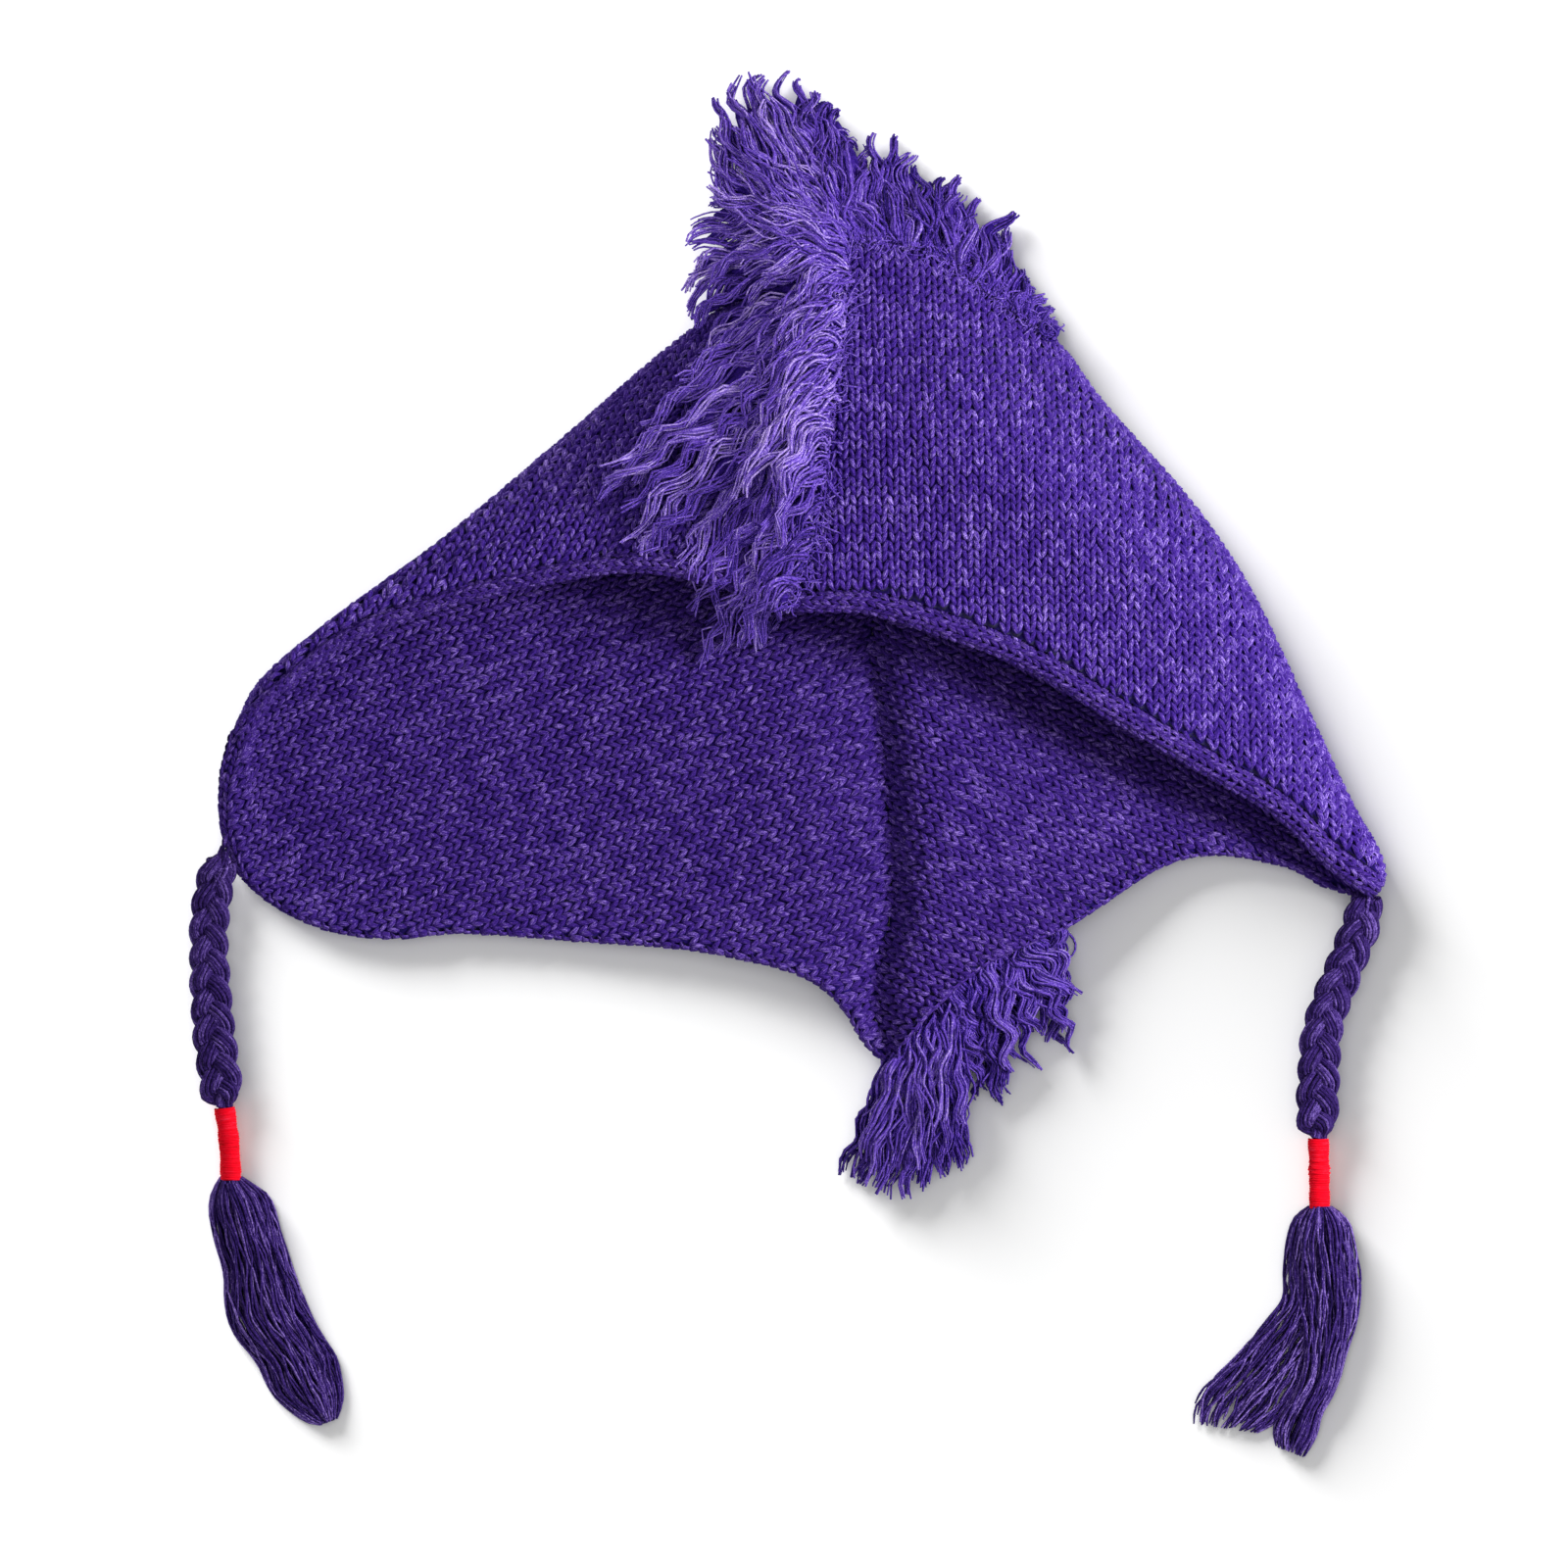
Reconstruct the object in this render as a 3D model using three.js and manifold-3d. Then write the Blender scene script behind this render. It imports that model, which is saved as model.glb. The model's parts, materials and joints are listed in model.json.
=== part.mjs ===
import * as THREE from 'three';
import Module from 'manifold-3d';
import { mergeVertices } from 'three/addons/utils/BufferGeometryUtils.js';

// A mohawk knit cap lying on its back with its opening towards -Y. Millimetres, +Z up.
// The origin is on the floor, under the middle of the cap and its fringe.
// The cap is a flattened bag: a front and a back layer that turn into each other
// along a fold on the left, a fold on the right and the crown's ridge.

const wasm = await Module();
wasm.setup();

// Walls, and the clearance between neighbouring pieces
const GAP = 0.3;
const OUTER_WALL = 2.6;
const LINING_WALL = 2.4;
const LINING_START = OUTER_WALL + GAP;
const LINING_END = LINING_START + LINING_WALL;
const FOLD_RADIUS = 8;
const TURN_LIMIT = 0.3;

// How far along the back layer each fold takes to lie flat, by share of the way up the fold
const BACK_ROLL = [
  { up: 0, width: 24 },
  { up: 0.3, width: 12 },
  { up: 1, width: FOLD_RADIUS },
];

// Plan outlines, seen from above
const LEFT_FOLD = [
  { x: -194, y: -35 },
  { x: -186, y: -18 },
  { x: -164.5, y: 1 },
  { x: -123.5, y: 31 },
  { x: -85, y: 63.5 },
  { x: -36.5, y: 104.5 },
  { x: 9.5, y: 133.5 },
];
const RIGHT_FOLD = [
  { x: 193.5, y: -90 },
  { x: 197.5, y: -83.5 },
  { x: 195.5, y: -74 },
  { x: 187, y: -59 },
  { x: 170.5, y: -24 },
  { x: 151.5, y: 15.5 },
  { x: 131.5, y: 45 },
  { x: 101, y: 79.5 },
  { x: 88.5, y: 97.5 },
];
const RIDGE = [
  { x: 9.5, y: 133.5 },
  { x: 29, y: 133 },
  { x: 47, y: 128 },
  { x: 67, y: 112.5 },
  { x: 88.5, y: 97.5 },
];
const FRONT_RIM = [
  { x: -194, y: -35 },
  { x: -182, y: -24 },
  { x: -157, y: -4.5 },
  { x: -121.5, y: 8.5 },
  { x: -90.5, y: 16 },
  { x: -58, y: 20.5 },
  { x: -30, y: 16 },
  { x: -8.5, y: 8 },
  { x: 20, y: 6.5 },
  { x: 45.5, y: -1 },
  { x: 73, y: -11.5 },
  { x: 108, y: -32 },
  { x: 136.5, y: -48.5 },
  { x: 161, y: -63 },
  { x: 178.5, y: -80 },
  { x: 193.5, y: -90 },
];
const BACK_RIM = [
  { x: -194, y: -35 },
  { x: -198, y: -50 },
  { x: -198.5, y: -61 },
  { x: -197, y: -71 },
  { x: -190, y: -84.5 },
  { x: -168.5, y: -98 },
  { x: -144, y: -103 },
  { x: -117, y: -101.5 },
  { x: -73.5, y: -104.5 },
  { x: -40, y: -107 },
  { x: -12, y: -112.5 },
  { x: 4, y: -118.5 },
  { x: 14, y: -128 },
  { x: 20, y: -138 },
  { x: 28, y: -144 },
  { x: 41, y: -130 },
  { x: 62, y: -112 },
  { x: 90, y: -99 },
  { x: 121.5, y: -79 },
  { x: 139.5, y: -75 },
  { x: 163.5, y: -79 },
  { x: 179, y: -86.5 },
  { x: 193.5, y: -90 },
];

// Where the seam runs under the fringe, on the front and on the back layer
const FRONT_SEAM = [
  { y: 8, x: -7 },
  { y: 24, x: -5 },
  { y: 44, x: 0.5 },
  { y: 70, x: 3.5 },
  { y: 104, x: 8 },
  { y: 133.5, x: 9.5 },
];
const BACK_SEAM = [
  { y: -144, x: 28 },
  { y: -120, x: 24 },
  { y: -96, x: 29.5 },
  { y: -51, x: 28 },
  { y: 2, x: 23.5 },
  { y: 40, x: 38 },
  { y: 97.5, x: 88.5 },
];
const SEAM_SETBACK = 6;
const SEAM_HALVINGS = 40;

// The fringe's backing along the seam in three runs, and the clearance it keeps from the knit
const BACKING = { halfWidth: 3, near: 0.3, far: 2.9, spans: 12 };
const BACKING_RUNS = [[0.01, 0.97], [1.02, 1.98], [2.03, 2.99]];
const GROWN = 0.5;

// Locks of the fringe: where each leaves the seam (0 to 1 up the front, to 2 along the
// ridge, to 3 down the back), where its tip lies, how far that is over what is under it,
// how far the lock stands up first, and its thickness
const LOCKS = [
  { along: 0.03, tipX: -26, tipY: -6, over: 29, stand: 14, radius: 8 },
  { along: 0.1, tipX: -47, tipY: 13, over: 27, stand: 20, radius: 10 },
  { along: 0.2, tipX: -69, tipY: 42, over: 6, stand: 22, radius: 11.5 },
  { along: 0.33, tipX: -52, tipY: 54, over: 6, stand: 24, radius: 12.5 },
  { along: 0.46, tipX: -45, tipY: 72, over: 6, stand: 24, radius: 12 },
  { along: 0.59, tipX: -39, tipY: 93, over: 7, stand: 24, radius: 12 },
  { along: 0.71, tipX: -38, tipY: 114, over: 8, stand: 23, radius: 12 },
  { along: 0.82, tipX: -35, tipY: 137, over: 9, stand: 21, radius: 11.5 },
  { along: 0.91, tipX: -31, tipY: 159, over: 8, stand: 18, radius: 11 },
  { along: 0.98, tipX: -25, tipY: 188, over: 5, stand: 15, radius: 10.5 },
  { along: 1.04, tipX: -5, tipY: 189, over: 4, stand: 12, radius: 10 },
  { along: 1.12, tipX: 13, tipY: 174, over: 4, stand: 12, radius: 9.5 },
  { along: 1.25, tipX: 25, tipY: 168, over: 4, stand: 11, radius: 9.5 },
  { along: 1.4, tipX: 39, tipY: 165, over: 3, stand: 11, radius: 9 },
  { along: 1.56, tipX: 53, tipY: 154, over: 3, stand: 10, radius: 8.5 },
  { along: 1.7, tipX: 62, tipY: 142, over: 3, stand: 9, radius: 8 },
  { along: 1.83, tipX: 71, tipY: 129, over: 3, stand: 8, radius: 7 },
  { along: 1.93, tipX: 80, tipY: 116, over: 2, stand: 7, radius: 6.5 },
  { along: 1.97, tipX: 101, tipY: 85, over: 2, stand: 8, radius: 6 },
  { along: 2.03, tipX: 96, tipY: 66, over: 0, stand: 0, radius: 5.6 },
  { along: 2.14, tipX: 90, tipY: 26, over: 0, stand: 0, radius: 8 },
  { along: 2.3, tipX: 78, tipY: -12, over: 0, stand: 0, radius: 10 },
  { along: 2.46, tipX: 76, tipY: -48, over: 0, stand: 0, radius: 11 },
  { along: 2.62, tipX: 80, tipY: -86, over: 0, stand: 0, radius: 11 },
  { along: 2.75, tipX: 86, tipY: -118, over: 2, stand: 0, radius: 10 },
  { along: 2.83, tipX: 79, tipY: -143, over: 2, stand: 0, radius: 9 },
  { along: 2.89, tipX: 62, tipY: -167, over: 2, stand: 0, radius: 9 },
  { along: 2.94, tipX: 43, tipY: -188, over: 2, stand: 1, radius: 9 },
  { along: 2.98, tipX: 17, tipY: -190, over: 2, stand: 2, radius: 8.8 },
];
const LOCK_SHAPE = [
  { run: 0, thick: 0.5 },
  { run: 0.25, thick: 0.95 },
  { run: 0.55, thick: 1 },
  { run: 0.85, thick: 0.75 },
  { run: 1, thick: 0.3 },
];
const LOCK_SIDES = 5;
const LOCK_FLATNESS = 0.7;
const LOCK_HEIGHT = 2;
const LOCK_SWEEP = 0.35;
const RAY_START = 200;

// Ties that hang from the flaps and lie on the floor: plait, red whipping and tassel
const PLAIT = { radius: 6.2, sides: 10, steps: 9 };
const WHIPPING = { radius: 3.6, sides: 10, steps: 3 };
const PLAIT_ROUTES = {
  left: [
    [-197.7, -77.2, 7.4], [-200, -86, 7.2], [-201.1, -92, 7], [-201.8, -97.5, 6.9], [-202, -103, 6.8],
    [-201.9, -109, 6.8], [-201.6, -115, 6.8], [-201.3, -120.5, 6.8], [-201, -126, 6.8], [-200.6, -132, 6.8],
    [-200, -138, 6.8], [-199.2, -143.5, 6.8], [-198.5, -149.5, 6.8], [-197.7, -155, 6.8], [-196.8, -161, 6.8],
  ],
  right: [
    [190.9, -90, 7.4], [189.8, -97.5, 7.2], [188.4, -101.6, 7], [186.6, -106.4, 6.9], [184.7, -111, 6.8],
    [182.9, -115.6, 6.8], [181.1, -120.3, 6.8], [179.2, -125, 6.8], [177.4, -129.7, 6.8], [176.1, -134.7, 6.8],
    [175.4, -140, 6.8], [175.1, -146.5, 6.8], [174.7, -154, 6.8], [174.5, -162, 6.8], [174.8, -171.5, 6.8],
  ],
};
const WHIPPING_ROUTES = {
  left: [[-196.7, -161.4, 6], [-195.6, -169, 5.4], [-194.9, -177, 5], [-194.6, -185.6, 5]],
  right: [[174.8, -171.9, 6], [175.1, -180, 5.4], [175.2, -188, 5], [175.3, -195.5, 5]],
};
const TASSELS = {
  left: {
    head: [-191, -195.5, 7.5], size: [10, 9.2, 7],
    tips: [
      { x: -190, y: -238 }, { x: -182, y: -256 }, { x: -173, y: -266 },
      { x: -163, y: -268 }, { x: -160, y: -254 },
    ],
    bulge: 0,
  },
  right: {
    head: [175, -205.2, 7.5], size: [10.5, 9.2, 7],
    tips: [
      { x: 136, y: -264 }, { x: 148, y: -271 }, { x: 159, y: -272 },
      { x: 168, y: -279 }, { x: 179, y: -258 },
    ],
    bulge: 9,
  },
};
const TASSEL_LOCK = {
  radius: 7.4, rootSpread: 0.8, beltSpread: 1.6, beltRun: 0.5, beltHeight: 8, tipHeight: 3, lowest: 0.3,
};
const TASSEL_HEAD = { around: 10, down: 7 };

// Height of the front layer over the folds, by share of the way from left to right
const FRONT_RISE = [
  { across: 0, rim: 0, crown: 0 },
  { across: 0.12, rim: 5, crown: 8 },
  { across: 0.25, rim: 14, crown: 20 },
  { across: 0.4, rim: 26, crown: 34 },
  { across: 0.55, rim: 31, crown: 42 },
  { across: 0.7, rim: 27, crown: 38 },
  { across: 0.85, rim: 15, crown: 24 },
  { across: 1, rim: 0, crown: 0 },
];
const CROWN_FROM_RIM = 0.55;
const RIDGE_FALL_START = 0.4;
const SEAM_GROOVE = { depth: 3, width: 9 };

// Height of the back layer over the floor, by distance to the right of its seam:
// the fringe flattened under the cap holds it up
const BACK_SWELL = [
  { right: -110, height: 0 },
  { right: -60, height: 3.5 },
  { right: -25, height: 6 },
  { right: 0, height: 5 },
  { right: 14, height: 13 },
  { right: 35, height: 11 },
  { right: 60, height: 6 },
  { right: 85, height: 2 },
  { right: 110, height: 0 },
];
const BACK_REACH = 240;
const RIM_CURL = { height: 3, width: 26 };

// The rolled edge: its section by distance from the rim and depth from the outer face
const EDGE_WIDTH = 8;
const EDGE_ROLL = 1.4;
const EDGE_GAP = 0.8;
const SKEW_LIMIT = 4;
const EDGE_SECTION = [
  { inward: 0, depth: 1 },
  { inward: 0, depth: 4.3 },
  { inward: EDGE_ROLL, depth: 5.7 },
  { inward: EDGE_WIDTH - EDGE_ROLL, depth: 5.7 },
  { inward: EDGE_WIDTH, depth: 4.5 },
  { inward: EDGE_WIDTH, depth: 0.8 },
  { inward: EDGE_WIDTH - EDGE_ROLL, depth: -0.4 },
  { inward: EDGE_ROLL, depth: -0.4 },
];

// Facets of each panel part from a seam to a fold, and from the edge to the ridge
const FACETS_ACROSS = 11;
const FACETS_UP = 10;
const FACETS_BUNCHING = 1.8;
const RIDGE_END = 0.9999;
const RIDGE_CLOSED = 0.99999;
const LINING_ROWS_SHORT = 1;

// Shares over which slopes are measured: along a line, into a layer from a fold or from the rim
const HEADING_STEP = 0.002;
const TURN_STEP = 0.01;
const RIM_STEP = 0.02;

const SURFACE = {
  outer: { color: 0x4b2d96, roughness: 0.95, metalness: 0 },
  lining: { color: 0x41288c, roughness: 0.95, metalness: 0 },
  edge: { color: 0x50329c, roughness: 0.95, metalness: 0 },
  fringe: { color: 0x6541b9, roughness: 1, metalness: 0 },
  tie: { color: 0x412d7d, roughness: 0.9, metalness: 0 },
  thread: { color: 0xeb1423, roughness: 0.55, metalness: 0 },
};

const mix = (a, b, share) => a + (b - a) * share;
const easeInOut = (s) => s * s * (3 - 2 * s);
const clampShare = (s) => Math.min(Math.max(s, 0), 1);

// Smooth curve through known values
function smoothValue(knots, values, at) {
  const last = knots.length - 1;
  const place = Math.min(Math.max(at, knots[0]), knots[last]);
  let i = 0;
  while (i < last - 1 && place > knots[i + 1]) i++;
  const slope = (k) => {
    const before = Math.max(k - 1, 0);
    const after = Math.min(k + 1, last);
    return (values[after] - values[before]) / (knots[after] - knots[before]);
  };
  const span = knots[i + 1] - knots[i];
  const s = (place - knots[i]) / span;
  const ease = s * s * (3 - 2 * s);
  const leave = s * (1 - s) * (1 - s) * span * slope(i);
  const arrive = s * s * (s - 1) * span * slope(i + 1);
  return values[i] * (1 - ease) + values[i + 1] * ease + leave + arrive;
}

function tableCurve(rows, key, column) {
  const knots = rows.map((row) => row[key]);
  const values = rows.map((row) => row[column]);
  return (at) => smoothValue(knots, values, at);
}

// A plan line through a table's points, run by its share of the whole length
function planLine(rows) {
  const knots = [0];
  for (let i = 1; i < rows.length; i++) {
    knots.push(knots[i - 1] + Math.hypot(rows[i].x - rows[i - 1].x, rows[i].y - rows[i - 1].y));
  }
  const length = knots[knots.length - 1];
  const xs = rows.map((row) => row.x);
  const ys = rows.map((row) => row.y);
  const point = (share) => {
    const past = (share - clampShare(share)) * length;
    const end = share < 0 ? 1 : rows.length - 1;
    const run = knots[end] - knots[end - 1];
    return {
      x: smoothValue(knots, xs, share * length) + (past * (xs[end] - xs[end - 1])) / run,
      y: smoothValue(knots, ys, share * length) + (past * (ys[end] - ys[end - 1])) / run,
    };
  };
  const heading = (share) => {
    const a = point(Math.max(share - HEADING_STEP, 0));
    const b = point(Math.min(share + HEADING_STEP, 1));
    const step = Math.hypot(b.x - a.x, b.y - a.y);
    return { x: (b.x - a.x) / step, y: (b.y - a.y) / step };
  };
  return { length, point, heading };
}

const leftFold = planLine(LEFT_FOLD);
const rightFold = planLine(RIGHT_FOLD);
const ridge = planLine(RIDGE);
const rims = { front: planLine(FRONT_RIM), back: planLine(BACK_RIM) };
const seams = { front: tableCurve(FRONT_SEAM, 'y', 'x'), back: tableCurve(BACK_SEAM, 'y', 'x') };
const riseAtRim = tableCurve(FRONT_RISE, 'across', 'rim');
const riseAtCrown = tableCurve(FRONT_RISE, 'across', 'crown');
const backSwell = tableCurve(BACK_SWELL, 'right', 'height');
const backRoll = tableCurve(BACK_ROLL, 'up', 'width');

// A layer's plan, blended from its four boundary lines
function planPoint(side, across, up) {
  const rim = rims[side];
  const low = rim.point(across);
  const high = ridge.point(across);
  const left = leftFold.point(up);
  const right = rightFold.point(up);
  const corner = (axis) =>
    mix(mix(rim.point(0)[axis], rim.point(1)[axis], across),
      mix(ridge.point(0)[axis], ridge.point(1)[axis], across), up);
  return {
    x: mix(low.x, high.x, up) + mix(left.x, right.x, across) - corner('x'),
    y: mix(low.y, high.y, up) + mix(left.y, right.y, across) - corner('y'),
  };
}

// Share of the layer that a fold's rounding takes up, from how fast the plan leaves the fold
function turnShare(side, fold, at, width) {
  const places = {
    left: [planPoint(side, 0, at), planPoint(side, TURN_STEP, at), leftFold.heading(at)],
    right: [planPoint(side, 1, at), planPoint(side, 1 - TURN_STEP, at), rightFold.heading(at)],
    ridge: [planPoint(side, at, 1), planPoint(side, at, 1 - TURN_STEP), ridge.heading(at)],
  };
  const [edge, inside, along] = places[fold];
  const away = Math.abs((inside.x - edge.x) * along.y - (inside.y - edge.y) * along.x) / TURN_STEP;
  return Math.min(width / away, TURN_LIMIT);
}

// A point of the cap: side, share from left to right, share from rim to ridge, and depth
// below the outer face
function bagPoint(side, across, up, depth) {
  const plan = planPoint(side, across, up);
  const width = side === 'back' ? backRoll(up) : FOLD_RADIUS;
  const turns = [
    { share: across / turnShare(side, 'left', up, width), along: leftFold.heading(up), hand: 1 },
    { share: (1 - across) / turnShare(side, 'right', up, FOLD_RADIUS),
      along: rightFold.heading(up), hand: -1 },
    { share: (1 - up) / turnShare(side, 'ridge', across, FOLD_RADIUS),
      along: ridge.heading(across), hand: 1 },
  ];
  let flat = 1;
  let total = 0;
  const inward = { x: 0, y: 0 };
  for (const { share, along, hand } of turns) {
    const left = 1 - clampShare(share);
    flat *= Math.sqrt(1 - left * left);
    total += left;
    inward.x += left * hand * along.y;
    inward.y -= left * hand * along.x;
  }
  const inset = depth / Math.max(total, 1);
  const x = plan.x + inset * inward.x;
  const y = plan.y + inset * inward.y;
  const turned = (FOLD_RADIUS - depth) * flat;
  const offSeam = plan.x - seams[side](plan.y);
  const lift = flat * flat;
  if (side === 'front') {
    const rise = mix(riseAtRim(across), riseAtCrown(across), easeInOut(clampShare(up / CROWN_FROM_RIM)));
    const fall = 1 - easeInOut(clampShare((up - RIDGE_FALL_START) / (1 - RIDGE_FALL_START)));
    const groove = SEAM_GROOVE.depth * Math.exp(-((offSeam / SEAM_GROOVE.width) ** 2));
    return new THREE.Vector3(x, y, FOLD_RADIUS + turned + (rise - groove) * fall * lift);
  }
  const curl = RIM_CURL.height * clampShare(1 - (up * BACK_REACH) / RIM_CURL.width) ** 2;
  return new THREE.Vector3(x, y, FOLD_RADIUS - turned + (backSwell(offSeam) + curl) * lift);
}

// Where a seam crosses a layer at a height, as a share from left to right
function seamShare(side, up) {
  let low = 0;
  let high = 1;
  for (let i = 0; i < SEAM_HALVINGS; i++) {
    const middle = (low + high) / 2;
    const plan = planPoint(side, middle, up);
    if (plan.x < seams[side](plan.y)) low = middle;
    else high = middle;
  }
  const setback = SEAM_SETBACK / mix(rims[side].length, ridge.length, up);
  return Math.min(Math.max(low, setback), 1 - setback);
}

// Columns of a half: each is a side and a share between its seam and its fold
const HALVES = {
  right: [{ side: 'front', fold: 1, fromSeam: true }, { side: 'back', fold: 1, fromSeam: false }],
  left: [{ side: 'back', fold: 0, fromSeam: true }, { side: 'front', fold: 0, fromSeam: false }],
};

function halfColumns(half) {
  const columns = [];
  HALVES[half].forEach((part, index) => {
    for (let i = index; i <= FACETS_ACROSS; i++) {
      const share = easeInOut(i / FACETS_ACROSS);
      columns.push({ ...part, toFold: part.fromSeam ? share : 1 - share });
    }
  });
  return columns;
}

function columnShare(column, up) {
  const gap = column.past ? -GAP : GAP;
  const away = Math.sign(column.fold - 0.5) * (gap / mix(rims[column.side].length, ridge.length, up));
  const seam = seamShare(column.side, up) + away;
  return mix(seam, column.fold, column.toFold);
}

// Share from rim to ridge that a distance inward from the rim comes to
function shareInward(column, inward) {
  const across = columnShare(column, 0);
  const a = planPoint(column.side, across, 0);
  const b = planPoint(column.side, across, RIM_STEP);
  return (inward * RIM_STEP) / Math.hypot(b.x - a.x, b.y - a.y);
}

// How slantwise a column leaves the rim, 1 where it leaves it squarely
function skewAtRim(column) {
  const across = columnShare(column, 0);
  const a = planPoint(column.side, across, 0);
  const b = planPoint(column.side, across, RIM_STEP);
  const along = rims[column.side].heading(across);
  const square = Math.abs((b.x - a.x) * along.y - (b.y - a.y) * along.x);
  return Math.min(Math.hypot(b.x - a.x, b.y - a.y) / square, SKEW_LIMIT);
}

// Closed solid from a grid of points on two faces, open along its four borders
function gridSolid(outside, inside) {
  const rows = outside.length;
  const cols = outside[0].length;
  const points = [...outside.flat(), ...inside.flat()];
  const outer = (i, j) => i * cols + j;
  const inner = (i, j) => rows * cols + i * cols + j;
  const faces = [];
  const quad = (a, b, c, d) => faces.push([a, b, c], [a, c, d]);
  for (let i = 0; i < rows - 1; i++) {
    for (let j = 0; j < cols - 1; j++) {
      quad(outer(i, j), outer(i, j + 1), outer(i + 1, j + 1), outer(i + 1, j));
      quad(inner(i, j), inner(i + 1, j), inner(i + 1, j + 1), inner(i, j + 1));
    }
  }
  for (let j = 0; j < cols - 1; j++) {
    quad(outer(0, j), inner(0, j), inner(0, j + 1), outer(0, j + 1));
    quad(outer(rows - 1, j), outer(rows - 1, j + 1), inner(rows - 1, j + 1), inner(rows - 1, j));
  }
  for (let i = 0; i < rows - 1; i++) {
    quad(outer(i, 0), outer(i + 1, 0), inner(i + 1, 0), inner(i, 0));
    quad(outer(i, cols - 1), inner(i, cols - 1), inner(i + 1, cols - 1), outer(i + 1, cols - 1));
  }
  return facetGeometry(points, faces);
}

// Closed solid through rings of points; a loop of rings closes on itself, others get end caps
function ringSolid(rings, closed) {
  const sides = rings[0].length;
  const faces = [];
  const spans = closed ? rings.length : rings.length - 1;
  for (let i = 0; i < spans; i++) {
    const next = (i + 1) % rings.length;
    for (let j = 0; j < sides; j++) {
      const k = (j + 1) % sides;
      faces.push([i * sides + j, i * sides + k, next * sides + k]);
      faces.push([i * sides + j, next * sides + k, next * sides + j]);
    }
  }
  if (!closed) {
    const end = (rings.length - 1) * sides;
    for (let j = 1; j < sides - 1; j++) {
      faces.push([0, j + 1, j]);
      faces.push([end, end + j, end + j + 1]);
    }
  }
  return facetGeometry(rings.flat(), faces);
}

// Geometry with its faces turned outwards
function facetGeometry(points, faces) {
  const volume = faces.reduce((sum, [a, b, c]) =>
    sum + points[a].dot(new THREE.Vector3().crossVectors(points[b], points[c])), 0);
  const geometry = new THREE.BufferGeometry();
  const positions = points.flatMap((p) => [p.x, p.y, p.z]);
  geometry.setAttribute('position', new THREE.Float32BufferAttribute(positions, 3));
  geometry.setIndex(faces.flatMap(([a, b, c]) => (volume > 0 ? [a, b, c] : [a, c, b])));
  return geometry;
}

// Rows of a panel's column from the rolled edge to the ridge
function panelRows(column) {
  const first = shareInward(column, EDGE_WIDTH + EDGE_GAP * skewAtRim(column));
  const rows = [];
  for (let i = 0; i <= FACETS_UP; i++) {
    const up = mix(first, RIDGE_END, 1 - (1 - i / FACETS_UP) ** FACETS_BUNCHING);
    rows.push({ across: columnShare(column, up), up });
  }
  return rows;
}

function panel(half, start, end, rowsShort) {
  const count = FACETS_UP + 1 - rowsShort;
  const face = (depth) => halfColumns(half).map((column) => panelRows(column).slice(0, count)
    .map(({ across, up }) => bagPoint(column.side, across, up, depth)));
  return gridSolid(face(start), face(end));
}

// Closed ring round the opening
function rolledEdge() {
  const columns = [...halfColumns('right'), ...halfColumns('left')];
  return ringSolid(columns.map((column) => {
    const { across } = panelRows(column)[0];
    return EDGE_SECTION.map(({ inward, depth }) =>
      bagPoint(column.side, across, shareInward(column, inward), depth));
  }), true);
}

// What a half of the cap fills from the rim to the ridge, grown by the clearance that
// the fringe keeps; it reaches past the seam and closes the ridge
function clearance(half, start, end) {
  const face = (depth, margin) => halfColumns(half).map((column) => {
    const wide = { ...column, past: true };
    const rows = panelRows(wide);
    const edge = [-GROWN, EDGE_ROLL, EDGE_WIDTH - EDGE_ROLL, EDGE_WIDTH].map((inward) =>
      bagPoint(wide.side, rows[0].across, shareInward(wide, inward), depth + margin));
    rows.push({ across: columnShare(wide, RIDGE_CLOSED), up: RIDGE_CLOSED });
    return [...edge, ...rows.map(({ across, up }) => bagPoint(wide.side, across, up, depth))];
  });
  return gridSolid(face(start, start < 0 ? -GROWN : 0), face(end, 0));
}

// A place on or over the cap's outer face, by its run along the seam (as in LOCKS),
// its distance to the seam's right and its height over the knit
function overSeam(along, right, height) {
  if (along > 1 && along < 2) {
    const across = mix(seamShare('front', 1), seamShare('back', 1), along - 1);
    const side = right > 0 ? 'front' : 'back';
    const angle = Math.abs(right) / FOLD_RADIUS;
    const up = 1 - (1 - Math.cos(angle)) * turnShare(side, 'ridge', across, FOLD_RADIUS);
    return bagPoint(side, across, up, -height);
  }
  const side = along < 1.5 ? 'front' : 'back';
  const up = side === 'front' ? along : 3 - along;
  const across = seamShare(side, up) + right / mix(rims[side].length, ridge.length, up);
  return bagPoint(side, across, up, -height);
}

function toManifold(geometry) {
  const bare = mergeVertices(geometry.deleteAttribute('normal').deleteAttribute('uv'));
  return new wasm.Manifold(new wasm.Mesh({
    numProp: 3,
    vertProperties: new Float32Array(bare.attributes.position.array),
    triVerts: new Uint32Array(bare.index.array),
  }));
}

function fromManifold(solid) {
  const { vertProperties, triVerts } = solid.getMesh();
  const geometry = new THREE.BufferGeometry();
  geometry.setAttribute('position', new THREE.BufferAttribute(new Float32Array(vertProperties), 3));
  geometry.setIndex(new THREE.BufferAttribute(new Uint32Array(triVerts), 1));
  return geometry;
}

const largestOf = (solid) => solid.decompose().sort((a, b) => b.volume() - a.volume())[0];

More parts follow.
